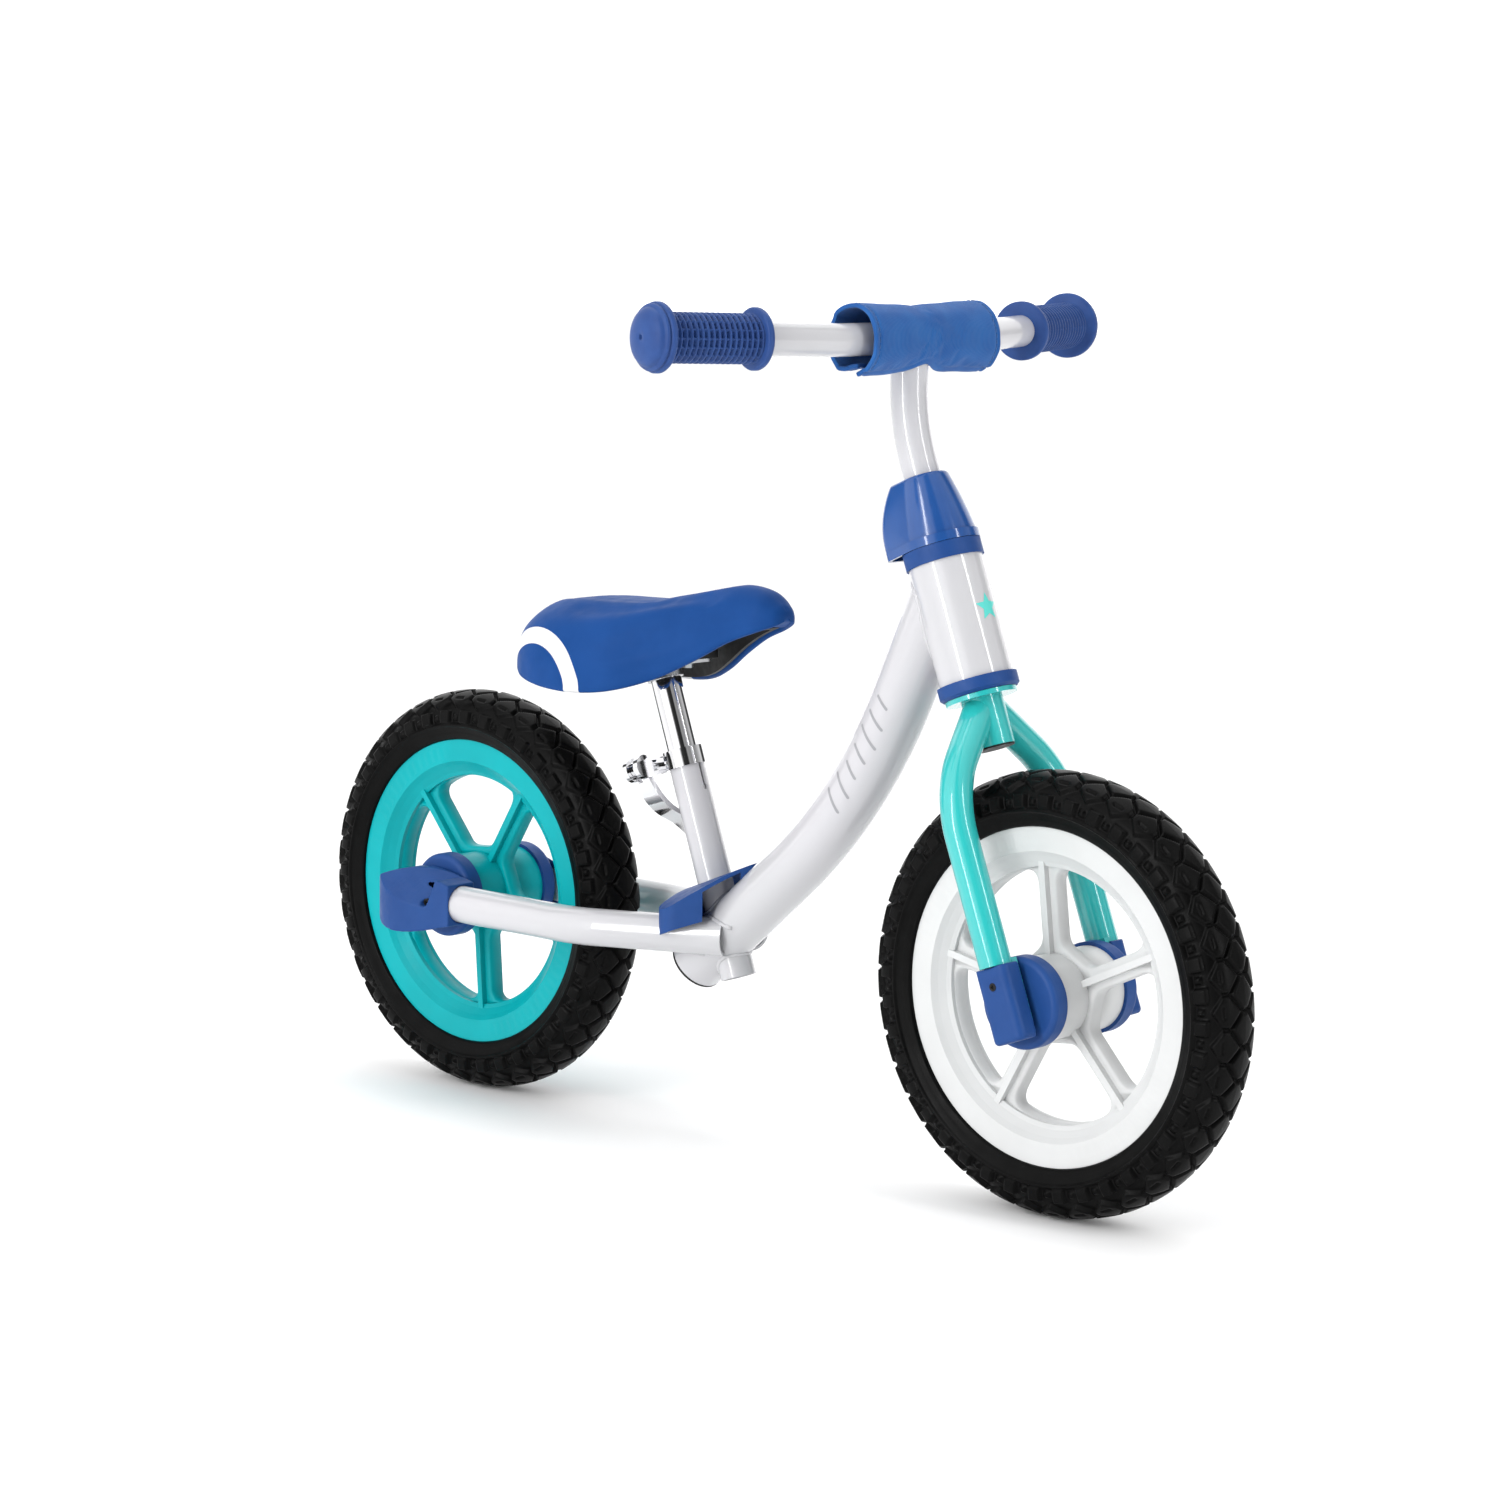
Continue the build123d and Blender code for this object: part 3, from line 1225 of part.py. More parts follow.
bracket_thick = 3.0
bracket_long = 66.0
bracket_wide = 36.0
bracket_low = post_head.Z + 5.0
bolt_pitch = 48.0
with BuildPart() as saddle_base:
    add(base_fit)
    add(base_inner, mode=Mode.SUBTRACT)
    with BuildSketch(Plane(origin=(post_head.X, 0, bracket_low + bracket_thick))):
        RectangleRounded(bracket_long + 8, bracket_wide + 8, 6)
    extrude(amount=60)
    add(base_fit, mode=Mode.INTERSECT)
    add(cushion_outer, mode=Mode.INTERSECT)
    with BuildSketch(Plane(origin=(post_head.X, 0, bracket_low))):
        with Locations((bolt_pitch / 2, 0), (-bolt_pitch / 2, 0)):
            Circle(2.5)
    extrude(amount=bracket_thick + 10, mode=Mode.SUBTRACT)
saddle_base.part.label = "saddle_base"
export_step(saddle_base.part, "parts/saddle_base.step")

with BuildPart() as saddle_bracket:
    with BuildSketch(Plane(origin=(post_head.X, 0, bracket_low))):
        RectangleRounded(bracket_long, bracket_wide, 5)
        with Locations((bolt_pitch / 2, 0), (-bolt_pitch / 2, 0)):
            Circle(2.5, mode=Mode.SUBTRACT)
    extrude(amount=bracket_thick)
    with BuildSketch(post_at(seat_top + post_exposed - 10)):
        Circle(post_od / 2 + 2.0)
        Circle(post_od / 2, mode=Mode.SUBTRACT)
    extrude(until=Until.NEXT, target=saddle_bracket.part)
saddle_bracket.part.label = "saddle_bracket"
export_step(saddle_bracket.part, "parts/saddle_bracket.step")

with BuildPart() as saddle_bolts:
    for along in (bolt_pitch / 2, -bolt_pitch / 2):
        with BuildSketch(Plane(origin=(post_head.X + along, 0, bracket_low))):
            Circle(2.5)
        extrude(amount=bracket_thick + 10)
        with BuildSketch(Plane(origin=(post_head.X + along, 0, bracket_low - 4))):
            RegularPolygon(4.0, 6, major_radius=False)
        extrude(amount=4)
saddle_bolts.part.label = "saddle_bolts"
export_step(saddle_bolts.part, "parts/saddle_bolts.step")
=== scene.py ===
"""Toddler balance bike: the looks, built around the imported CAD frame.

Metres, +X forward, +Y to the rider's left, +Z up. The pieces made here are
the treaded tyres, the wheels' spoke webs, the softened axle covers, the waffle
grips, the wrapped handlebar pad and its stitching, the saddle cover, the weld
beads and the printed motifs. Every other piece is a CAD node, which only gets
its material.
"""
import json
import math

import bmesh
import bpy
import numpy as np
from mathutils import Matrix, Vector
from mathutils.bvhtree import BVHTree
from mathutils.geometry import tessellate_polygon


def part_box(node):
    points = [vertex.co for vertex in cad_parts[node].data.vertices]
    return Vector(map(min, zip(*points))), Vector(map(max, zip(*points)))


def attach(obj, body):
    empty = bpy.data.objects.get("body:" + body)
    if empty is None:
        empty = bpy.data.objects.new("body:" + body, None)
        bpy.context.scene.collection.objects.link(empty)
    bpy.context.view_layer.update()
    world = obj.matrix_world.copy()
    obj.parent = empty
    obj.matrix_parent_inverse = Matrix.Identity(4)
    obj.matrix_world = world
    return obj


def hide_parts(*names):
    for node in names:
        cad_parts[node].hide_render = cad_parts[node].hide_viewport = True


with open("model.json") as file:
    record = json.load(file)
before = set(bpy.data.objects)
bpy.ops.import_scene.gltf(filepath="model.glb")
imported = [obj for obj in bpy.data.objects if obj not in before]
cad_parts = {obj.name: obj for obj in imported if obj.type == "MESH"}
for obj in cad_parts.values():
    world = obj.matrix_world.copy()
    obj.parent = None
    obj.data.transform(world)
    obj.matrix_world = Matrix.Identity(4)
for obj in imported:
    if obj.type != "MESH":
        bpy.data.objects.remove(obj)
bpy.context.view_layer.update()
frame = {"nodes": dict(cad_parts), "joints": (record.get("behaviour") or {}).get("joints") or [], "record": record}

MM = 0.001
UP = Vector((0, 0, 1))
record = frame["record"]
joints = {joint["name"]: joint for joint in frame["joints"]}
slot_of = {part["node"]: part["material_slot"] for part in record["subparts"]}

# ---- sizes, in millimetres -------------------------------------------------
BAR_RADIUS = 11.1
BAR_SWEEP = math.radians(13.3)
BAR_RISE = 3.5
BAR_ARM = 143.0
GRIP_LENGTH = 91.0
GRIP_CAP = 6.5
TYRE_PITCHES = 40
SEAT_TUBE_RADIUS = 12.7
STAY_RADIUS = 13.5
MAIN_RADIUS = 21.0


# ---- small tools -----------------------------------------------------------
def new_object(name, mesh):
    made = bpy.data.objects.new(name, mesh)
    bpy.context.scene.collection.objects.link(made)
    return made


def mesh_from(name, points, faces):
    mesh = bpy.data.meshes.new(name)
    mesh.from_pydata([tuple(map(float, p)) for p in points], [], faces)
    mesh.update()
    shade_soft(mesh)
    return mesh


def shade_soft(mesh):
    mesh.polygons.foreach_set("use_smooth", [True] * len(mesh.polygons))


def grid_faces(rows, columns, close_rows=False, close_columns=False):
    """Quads of a grid whose point (row, column) has the number row * columns + column."""
    faces = []
    for row in range(rows if close_rows else rows - 1):
        below = row * columns
        above = (row + 1) % rows * columns
        for column in range(columns if close_columns else columns - 1):
            right = (column + 1) % columns
            faces.append((below + column, below + right, above + right, above + column))
    return faces


def step(value, low, high):
    """Smooth rise from 0 at low to 1 at high."""
    share = np.clip((value - low) / (high - low), 0, 1)
    return share * share * (3 - 2 * share)


def cut_corners(points, times=2):
    """Chaikin's rounding of an open run of points."""
    points = np.array(points, float)
    for _ in range(times):
        first, second = points[:-1], points[1:]
        inner = np.stack((first * 0.75 + second * 0.25, first * 0.25 + second * 0.75), 1)
        points = np.vstack((points[:1], inner.reshape(-1, points.shape[1]), points[-1:]))
    return points


def run_length(points):
    return np.concatenate(([0], np.cumsum(np.linalg.norm(np.diff(points, axis=0), axis=1))))


def along_run(points, places):
    """Points at the given distances along a run of points."""
    lengths = run_length(points)
    return np.stack([np.interp(places, lengths, points[:, k]) for k in range(points.shape[1])], 1)


def through(stations, count):
    """Smooth curve through the stations, in any number of columns, by Catmull-Rom spans."""
    stations = np.array(stations, float)
    padded = np.vstack((2 * stations[0] - stations[1], stations, 2 * stations[-1] - stations[-2]))
    rows = []
    for place in np.linspace(0, len(stations) - 1, count):
        span = min(int(place), len(stations) - 2)
        t = place - span
        before, start, end, after = padded[span:span + 4]
        rows.append(0.5 * (2 * start + (end - before) * t
                           + (2 * before - 5 * start + 4 * end - after) * t * t
                           + (3 * start - before - 3 * end + after) * t ** 3))
    return np.array(rows)


def surface_of(node):
    """A tree of a CAD node's faces, for finding where a ray meets it."""
    mesh = frame["nodes"][node].data
    return BVHTree.FromPolygons([v.co for v in mesh.vertices], [p.vertices for p in mesh.polygons])


# ---- materials -------------------------------------------------------------
def linear(hex_colour):
    """sRGB hex to the linear colour that a shader takes."""
    channels = [int(hex_colour[k:k + 2], 16) / 255 for k in (1, 3, 5)]
    return [c / 12.92 if c <= 0.04045 else ((c + 0.055) / 1.055) ** 2.4 for c in channels] + [1]


def add_node(tree, kind, settings=(), inputs=()):
    """Adds a shader node with its settings, and sets or links its inputs by name or number."""
    made = tree.nodes.new(kind)
    for name, value in dict(settings).items():
        setattr(made, name, value)
    for name, value in dict(inputs).items():
        if isinstance(value, bpy.types.NodeSocket):
            tree.links.new(value, made.inputs[name])
        else:
            made.inputs[name].default_value = value
    return made


def new_material(name, colour, **finish):
    """A material with one Principled shader. Returns it, its tree, its shader and object coordinates."""
    material = bpy.data.materials.new(name)
    material.use_nodes = True
    tree = material.node_tree
    shader = tree.nodes["Principled BSDF"]
    shader.inputs["Base Color"].default_value = linear(colour)
    for socket, value in finish.items():
        shader.inputs[socket.replace("_", " ")].default_value = value
    place = add_node(tree, "ShaderNodeTexCoord").outputs["Object"]
    return material, tree, shader, place


def noise_at(tree, place, size_mm, detail=2.0):
    """Noise whose lumps are about that many millimetres across."""
    settings = {"Vector": place, "Scale": 1 / (size_mm * MM), "Detail": detail}
    return add_node(tree, "ShaderNodeTexNoise", inputs=settings).outputs["Fac"]


def set_bump(tree, shader, height, depth_mm, strength=1.0):
    inputs = {"Height": height, "Distance": depth_mm * MM, "Strength": strength}
    bump = add_node(tree, "ShaderNodeBump", inputs=inputs)
    tree.links.new(bump.outputs["Normal"], shader.inputs["Normal"])


def set_range(tree, value, socket, low, high):
    """Spreads a 0 to 1 value over a shader socket's own range."""
    inputs = {"Value": value, "From Min": 0.3, "From Max": 0.7, "To Min": low, "To Max": high}
    spread = add_node(tree, "ShaderNodeMapRange", inputs=inputs)
    tree.links.new(spread.outputs["Result"], socket)


def set_two_tone(tree, value, shader, low, high):
    """Mixes two close shades of a colour by a 0 to 1 value."""
    ramp = add_node(tree, "ShaderNodeValToRGB", inputs={"Fac": value})
    ramp.color_ramp.elements[0].position = 0.35
    ramp.color_ramp.elements[0].color = linear(low)
    ramp.color_ramp.elements[1].position = 0.65
    ramp.color_ramp.elements[1].color = linear(high)
    tree.links.new(ramp.outputs["Color"], shader.inputs["Base Color"])
    return ramp


def powder_coat(name, low, high):
    """Polyester powder coat on steel, baked: a thick glossy film with faint orange peel."""
    peel_mm = 2.2
    material, tree, shader, place = new_material(
        name, high, Roughness=0.34, Coat_Weight=1.0, Coat_Roughness=0.06, Specular_IOR_Level=0.3)
    set_two_tone(tree, noise_at(tree, place, 120.0, 0.0), shader, low, high)
    set_bump(tree, shader, noise_at(tree, place, peel_mm, 0.0), 0.012, 0.25)
    return material


def moulded_nylon(name, low, high, marks=None):
    """Injection-moulded nylon: satin skin, flow clouds and, on the rim's flat, fine radial marks."""
    material, tree, shader, place = new_material(name, high, Roughness=0.36, Specular_IOR_Level=0.16)
    set_two_tone(tree, noise_at(tree, place, 35.0, 3.0), shader, low, high)
    set_range(tree, noise_at(tree, place, 8.0), shader.inputs["Roughness"], 0.32, 0.45)
    height = noise_at(tree, place, 0.9, 1.0)
    if marks is not None:
        height = radial_marks(tree, place, marks, height)
    set_bump(tree, shader, height, 0.22, 0.5)
    return material


def radial_marks(tree, place, hub, grain):
    """Fine lines across the rim's flat, 7.6 mm apart, on two stretches of its circle."""
    marks_round, flat_middle_mm, flat_half_mm, depth_share = 88, 106.5, 4.5, 0.9
    wheel = add_node(tree, "ShaderNodeVectorMath", {"operation": "SUBTRACT"},
                     {0: place, 1: tuple(hub)})
    split = add_node(tree, "ShaderNodeSeparateXYZ", inputs={0: wheel.outputs[0]})
    turn = add_node(tree, "ShaderNodeMath", {"operation": "ARCTAN2"},
                    {0: split.outputs["Z"], 1: split.outputs["X"]}).outputs[0]
    lines = add_node(tree, "ShaderNodeMath", {"operation": "MULTIPLY"},
                     {0: turn, 1: marks_round}).outputs[0]
    wave = add_node(tree, "ShaderNodeMath", {"operation": "SINE"}, {0: lines}).outputs[0]
    twice = add_node(tree, "ShaderNodeMath", {"operation": "MULTIPLY"}, {0: turn, 1: 2.0}).outputs[0]
    where = add_node(tree, "ShaderNodeMath", {"operation": "SINE"}, {0: twice}).outputs[0]
    stretch = add_node(tree, "ShaderNodeMapRange",
                       inputs={"Value": where, "From Min": -0.55, "From Max": -0.35,
                               "To Min": depth_share, "To Max": 0.0}).outputs["Result"]
    radius = add_node(tree, "ShaderNodeVectorMath", {"operation": "LENGTH"},
                      {0: wheel.outputs[0]}).outputs["Value"]
    band = add_node(tree, "ShaderNodeMath", {"operation": "COMPARE"},
                    {0: radius, 1: flat_middle_mm * MM, 2: flat_half_mm * MM}).outputs[0]
    cut = add_node(tree, "ShaderNodeMath", {"operation": "MULTIPLY"}, {0: stretch, 1: band}).outputs[0]
    marks = add_node(tree, "ShaderNodeMath", {"operation": "MULTIPLY"}, {0: wave, 1: cut}).outputs[0]
    return add_node(tree, "ShaderNodeMath", {"operation": "MULTIPLY_ADD"},
                    {0: grain, 1: 0.12, 2: marks}).outputs[0]


def moulded_polypropylene(name, low, high, roughness=0.5):
    """Polypropylene from a spark-eroded mould: a fine matt grain."""
    grain_mm = 0.8
    material, tree, shader, place = new_material(
        name, high, Roughness=roughness, Specular_IOR_Level=0.25)
    set_two_tone(tree, noise_at(tree, place, 25.0, 3.0), shader, low, high)
    set_range(tree, noise_at(tree, place, 6.0), shader.inputs["Roughness"],
              roughness - 0.06, roughness + 0.08)
    set_bump(tree, shader, noise_at(tree, place, grain_mm), 0.12, 0.5)
    return material


def polished_abs(name, low, high):
    """ABS from a polished mould: a glossy skin that mirrors the lights softly."""
    material, tree, shader, place = new_material(
        name, high, Roughness=0.16, Coat_Weight=0.25, Coat_Roughness=0.05, Specular_IOR_Level=0.4)
    set_two_tone(tree, noise_at(tree, place, 30.0), shader, low, high)
    set_range(tree, noise_at(tree, place, 9.0), shader.inputs["Roughness"], 0.12, 0.22)
    set_bump(tree, shader, noise_at(tree, place, 4.0), 0.05, 0.3)
    return material


def soft_rubber(name, low, high):
    """Thermoplastic rubber, injection moulded: matt, with a fine skin grain."""
    material, tree, shader, place = new_material(
        name, high, Roughness=0.55, Specular_IOR_Level=0.3, Sheen_Weight=0.05)
    set_two_tone(tree, noise_at(tree, place, 12.0, 3.0), shader, low, high)
    set_bump(tree, shader, noise_at(tree, place, 0.7), 0.1, 0.5)
    return material


def eva_foam(name, low, high):
    """EVA foam, moulded closed-cell: black, low sheen, with a skin of fine pores."""
    pore_mm = 0.9
    material, tree, shader, place = new_material(
        name, high, Roughness=0.34, Specular_IOR_Level=0.06)
    set_two_tone(tree, noise_at(tree, place, 18.0, 4.0), shader, low, high)
    set_range(tree, noise_at(tree, place, 9.0, 3.0), shader.inputs["Roughness"], 0.28, 0.42)
    set_bump(tree, shader, noise_at(tree, place, pore_mm), 0.16, 0.5)
    return material


def woven_polyester(name, low, high, centre):
    """Polyester oxford cloth in a diagonal weave, laid round the bar; the real 0.5 mm thread
    is too fine to show, so it is drawn 1.3 mm apart."""
    thread_mm, wrap_radius_mm = 1.3, 22.0
    material, tree, shader, place = new_material(
        name, high, Roughness=0.8, Specular_IOR_Level=0.2, Sheen_Weight=0.12)
    local = add_node(tree, "ShaderNodeVectorMath", {"operation": "SUBTRACT"},
                     {0: place, 1: tuple(centre)})
    split = add_node(tree, "ShaderNodeSeparateXYZ", inputs={0: local.outputs[0]})
    turn = add_node(tree, "ShaderNodeMath", {"operation": "ARCTAN2"},
                    {0: split.outputs["Z"], 1: split.outputs["X"]}).outputs[0]
    around = add_node(tree, "ShaderNodeMath", {"operation": "MULTIPLY"},
                      {0: turn, 1: wrap_radius_mm * MM}).outputs[0]
    waves = []
    for slope in (1.0, -0.35):
        lean = add_node(tree, "ShaderNodeMath", {"operation": "MULTIPLY_ADD"},
                        {0: around, 1: slope, 2: split.outputs["Y"]}).outputs[0]
        turns = add_node(tree, "ShaderNodeMath", {"operation": "MULTIPLY"},
                         {0: lean, 1: 2 * math.pi / (thread_mm * MM)}).outputs[0]
        waves.append(add_node(tree, "ShaderNodeMath", {"operation": "SINE"}, {0: turns}).outputs[0])
    weave = add_node(tree, "ShaderNodeMath", {"operation": "MULTIPLY_ADD"},
                     {0: waves[0], 1: 0.5, 2: waves[1]}).outputs[0]
    shade = add_node(tree, "ShaderNodeMath", {"operation": "MULTIPLY_ADD"},
                     {0: weave, 1: 0.12, 2: noise_at(tree, place, 15.0, 3.0)}).outputs[0]
    set_two_tone(tree, shade, shader, low, high)
    set_bump(tree, shader, weave, 0.14, 0.6)
    return material


def grained_vinyl(name, low, high, stripe):
    """PVC leathercloth, embossed with a fine grain, with a white arch let into each rear side."""
    grain_mm = 1.6
    material, tree, shader, place = new_material(
        name, high, Roughness=0.5, Specular_IOR_Level=0.05)
    ramp = set_two_tone(tree, noise_at(tree, place, 30.0, 3.0), shader, low, high)
    local = add_node(tree, "ShaderNodeVectorMath", {"operation": "SUBTRACT"},
                     {0: place, 1: (ARCH_CENTRE[0], 0, ARCH_CENTRE[1])})
    flat = add_node(tree, "ShaderNodeVectorMath", {"operation": "MULTIPLY"},
                    {0: local.outputs[0], 1: (1 / ARCH_HALF[0], 0, 1 / ARCH_HALF[1])})
    reach = add_node(tree, "ShaderNodeVectorMath", {"operation": "LENGTH"},
                     {0: flat.outputs[0]}).outputs["Value"]
    arch = add_node(tree, "ShaderNodeMath", {"operation": "COMPARE"},
                    {0: reach, 1: 1.0, 2: ARCH_BAND_SHARE}).outputs[0]
    mixed = add_node(tree, "ShaderNodeMix", {"data_type": "RGBA"},
                     {"Factor": arch, 6: ramp.outputs["Color"], 7: linear(stripe)})
    tree.links.new(mixed.outputs[2], shader.inputs["Base Color"])
    cells = add_node(tree, "ShaderNodeTexVoronoi", {"feature": "SMOOTH_F1"},
                     {"Vector": place, "Scale": 1 / (grain_mm * MM)}).outputs["Distance"]
    set_range(tree, noise_at(tree, place, 10.0), shader.inputs["Roughness"], 0.44, 0.56)
    set_bump(tree, shader, cells, 0.12, 0.4)
    return material


def plated_steel(name, colour, roughness):
    """Electroplated steel: a thin bright metal skin over a finely polished surface."""
    material, tree, shader, place = new_material(name, colour, Metallic=1.0, Roughness=roughness)
    set_range(tree, noise_at(tree, place, 5.0, 3.0), shader.inputs["Roughness"],
              roughness * 0.7, roughness * 1.4)
    set_bump(tree, shader, noise_at(tree, place, 1.5), 0.01, 0.3)
    return material


def black_oxide(name, low, high):
    """Steel blackened in a hot salt bath and oiled: a dull dark skin."""
    material, tree, shader, place = new_material(name, high, Roughness=0.4, Specular_IOR_Level=0.25)
    set_two_tone(tree, noise_at(tree, place, 25.0, 3.0), shader, low, high)
    set_range(tree, noise_at(tree, place, 6.0), shader.inputs["Roughness"], 0.34, 0.48)
    set_bump(tree, shader, noise_at(tree, place, 0.8), 0.12, 0.5)
    return material


def pad_print(name, colour):
    """Pad-printed ink under the lacquer: a flat film, slightly matt."""
    material, tree, shader, place = new_material(name, colour, Roughness=0.35, Coat_Weight=0.3)
    set_bump(tree, shader, noise_at(tree, place, 0.8), 0.02, 0.2)
    return material


def sewing_thread(name, colour):
    """Bonded polyester thread, twisted: a dull round strand."""
    twist_mm = 0.6
    material, tree, shader, place = new_material(name, colour, Roughness=0.7, Sheen_Weight=0.3)
    scale = 0.3 / (twist_mm * MM)
    lines = add_node(tree, "ShaderNodeTexWave", inputs={"Vector": place, "Scale": scale})
    set_bump(tree, shader, lines.outputs["Fac"], 0.1, 0.5)
    return material


rear_hub = Vector(joints["rear_wheel_spin"]["pos_m"])
front_hub = Vector(joints["front_wheel_spin"]["pos_m"])
steer_up = Vector(joints["steering"]["axis"])
saddle_low, saddle_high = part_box("saddle_cushion")
pad_low, pad_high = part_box("handlebar_pad")
bar_low, bar_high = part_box("crossbar")
bar_centre = Vector(((pad_low.x + pad_high.x) / 2 + MM, 0, bar_high.z - (BAR_RADIUS + BAR_RISE) * MM))

finishes = {
    "white_paint": powder_coat("powder_coat_white", "#BFBFC2", "#C2C1C5"),
    "teal_paint": powder_coat("powder_coat_turquoise", "#25AFAE", "#2CB5B3"),
    "teal_plastic": moulded_nylon("nylon_turquoise", "#00A0A6", "#00A6AC", rear_hub),
    "white_plastic": moulded_nylon("nylon_natural_white", "#CDCECE", "#D1D2D2", front_hub),
    "blue_plastic": moulded_polypropylene("polypropylene_blue", "#17407E", "#1B4584"),
    "blue_gloss_plastic": polished_abs("abs_gloss_blue", "#1F4A8A", "#244F90"),
    "blue_rubber": soft_rubber("tpr_blue", "#1D3F7C", "#224684"),
    "blue_fabric": woven_polyester("polyester_weave_blue", "#1B5194", "#235DA0", bar_centre),
    "black_plastic": moulded_polypropylene("polypropylene_black", "#161617", "#1E1E20", 0.55),
    "tyre_foam": eva_foam("eva_foam_black", "#080808", "#0D0D0D"),
    "chrome_plate": plated_steel("chrome_plate", "#E6E6E8", 0.07),
    "zinc_steel": plated_steel("zinc_plated_steel", "#B9BBBE", 0.3),
    "bearing_steel": plated_steel("ground_bearing_steel", "#C9CACC", 0.18),
    "black_steel": black_oxide("black_oxide_steel", "#121213", "#1A1A1C"),
}
ARCH_CENTRE = (saddle_low.x + 43 * MM, saddle_low.z)
ARCH_HALF = (42.5 * MM, 34.5 * MM)
ARCH_BAND_SHARE = 0.165
finishes["blue_vinyl"] = grained_vinyl("pvc_leathercloth_blue", "#18427F", "#1B4685", "#D8D8DA")


def finish_with(piece, slot, material=None):
    """Gives a piece the material of its record slot, or the material passed in."""
    piece.data.materials.clear()
    piece.data.materials.append(material or finishes[slot])


def paint_frame_nodes():
    for name, node in frame["nodes"].items():
        node.data.materials.clear()
        node.data.materials.append(finishes[slot_of[name]])
        shade_soft(node.data)


# ---- tyres -----------------------------------------------------------------
# half section, radius and half width, from the crown to the bead under the rim
TYRE_CROWN = ((150, 0), (149.6, 5), (148.4, 10), (146.2, 15), (142.6, 19.5),
              (138, 22.8), (132.5, 24.6), (127, 25), (124.4, 24.8))
TYRE_WALL = ((124.4, 24.8), (123.6, 23.3), (121.2, 22.6), (120.9, 22.2), (117.6, 21.3),
             (117.3, 20.9), (114.6, 19.9), (113.9, 18.8), (113.8, 16.0))
TYRE_BEAD = ((113.8, 16.0), (109.2, 13.2), (109.2, 6.0))
TREAD_DEPTH = 3.4
BLOCK_ROWS = (0.0, 15.0, 30.5)
TREAD_EDGE = 38.6
ROUND_PITCH = 2 * math.pi * 150 / TYRE_PITCHES


def tread_depth(around, across):
    """How far the tread lies below its top: hexagonal blocks with a slit on the crown, then lugs
    with a small pip between them on the shoulder."""
    across = np.abs(across)
    numbers = (-1, 0, 1, 2)
    centres = [(number + (row % 2) / 2, height, row)
               for row, height in enumerate(BLOCK_ROWS) for number in numbers]
    centres += [(number + 0.5, -BLOCK_ROWS[1], 1) for number in numbers]
    gaps = np.stack([np.hypot(around - x * ROUND_PITCH, across - y) for x, y, _ in centres])
    order = np.argsort(gaps, axis=0)
    near, next_near = order[0], order[1]
    place = np.array([(x * ROUND_PITCH, y) for x, y, _ in centres])
    rows = np.array([row for _, _, row in centres])
    first = np.take_along_axis(gaps, order[:1], 0)[0]
    second = np.take_along_axis(gaps, order[1:2], 0)[0]
    apart = np.linalg.norm(place[near] - place[next_near], axis=-1)
    edge = (second ** 2 - first ** 2) / (2 * apart)
    depth = TREAD_DEPTH * (1 - step(edge, 0.7, 1.7))
    shoulder = rows[near] == 2
    from_block = np.minimum(around, ROUND_PITCH - around)
    from_gap = np.abs(around - ROUND_PITCH / 2)

    def outside(off_middle, half_length, height, half_height):
        return np.maximum(off_middle - half_length, np.abs(across - height) - half_height)
    lug = TREAD_DEPTH * step(outside(from_block, 5.4, 33.4, 4.9), -0.2, 0.8)
    pip = TREAD_DEPTH * (0.4 + 0.6 * step(outside(from_gap, 2.0, 34.0, 2.0), -0.2, 0.7))
    depth = np.where(shoulder, np.minimum(lug, pip), depth)
    slit_depth = 1.8 * (1 - step(outside(from_gap, 3.4, 17.6, 0.3), 0.0, 0.9))
    depth = np.maximum(depth, slit_depth * ~shoulder)
    return depth * (1 - step(across, TREAD_EDGE, TREAD_EDGE + 1))


def tyre_mesh():
    """Outer tread and walls on a fine grid, closed by the bead that sits in the rim's channel."""
    samples, tread_step, wall_step = 20, 0.95, 1.1
    crown = cut_corners(TYRE_CROWN)
    length = run_length(crown)[-1]
    crown = along_run(crown, np.linspace(0, length, int(length / tread_step)))
    reach = run_length(crown)
    wall = cut_corners(TYRE_WALL, 1)
    length = run_length(wall)[-1]
    wall = along_run(wall, np.linspace(0, length, int(length / wall_step)))
    half = np.vstack((crown, wall[1:], np.array(TYRE_BEAD)[1:]))
    off_tread = np.full(len(half) - len(reach), TREAD_EDGE + 60)
    across = np.concatenate((reach, off_tread))
    mirrored = half[:0:-1] * (1, -1)
    section = np.vstack((mirrored, half))
    across = np.concatenate((-across[:0:-1], across))
    tangent = np.gradient(section, axis=0)
    normal = np.stack((tangent[:, 1], -tangent[:, 0]), 1)
    normal /= np.linalg.norm(normal, axis=1)[:, None]
    around = np.arange(samples) / samples * ROUND_PITCH
    depth = tread_depth(*np.meshgrid(around, across, indexing="ij"))
    radius = section[None, :, 0] - depth * normal[None, :, 0]
    width = section[None, :, 1] - depth * normal[None, :, 1]
    radius, width = np.tile(radius, (TYRE_PITCHES, 1)), np.tile(width, (TYRE_PITCHES, 1))
    turn = np.linspace(0, 2 * math.pi, len(radius), endpoint=False)[:, None]
    points = np.stack((radius * np.cos(turn), width, radius * np.sin(turn)), -1) * MM
    faces = grid_faces(*radius.shape, close_rows=True, close_columns=True)
    return mesh_from("tyre", points.reshape(-1, 3), faces)


def make_tyres():
    shared = tyre_mesh()
    for place, hub in (("rear", rear_hub), ("front", front_hub)):
        tyre = new_object(f"{place}_treaded_tyre", shared)
        tyre.location = hub
        finish_with(tyre, "tyre_foam")
        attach(tyre, f"{place}_wheel")
        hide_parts(f"{place}_tyre")


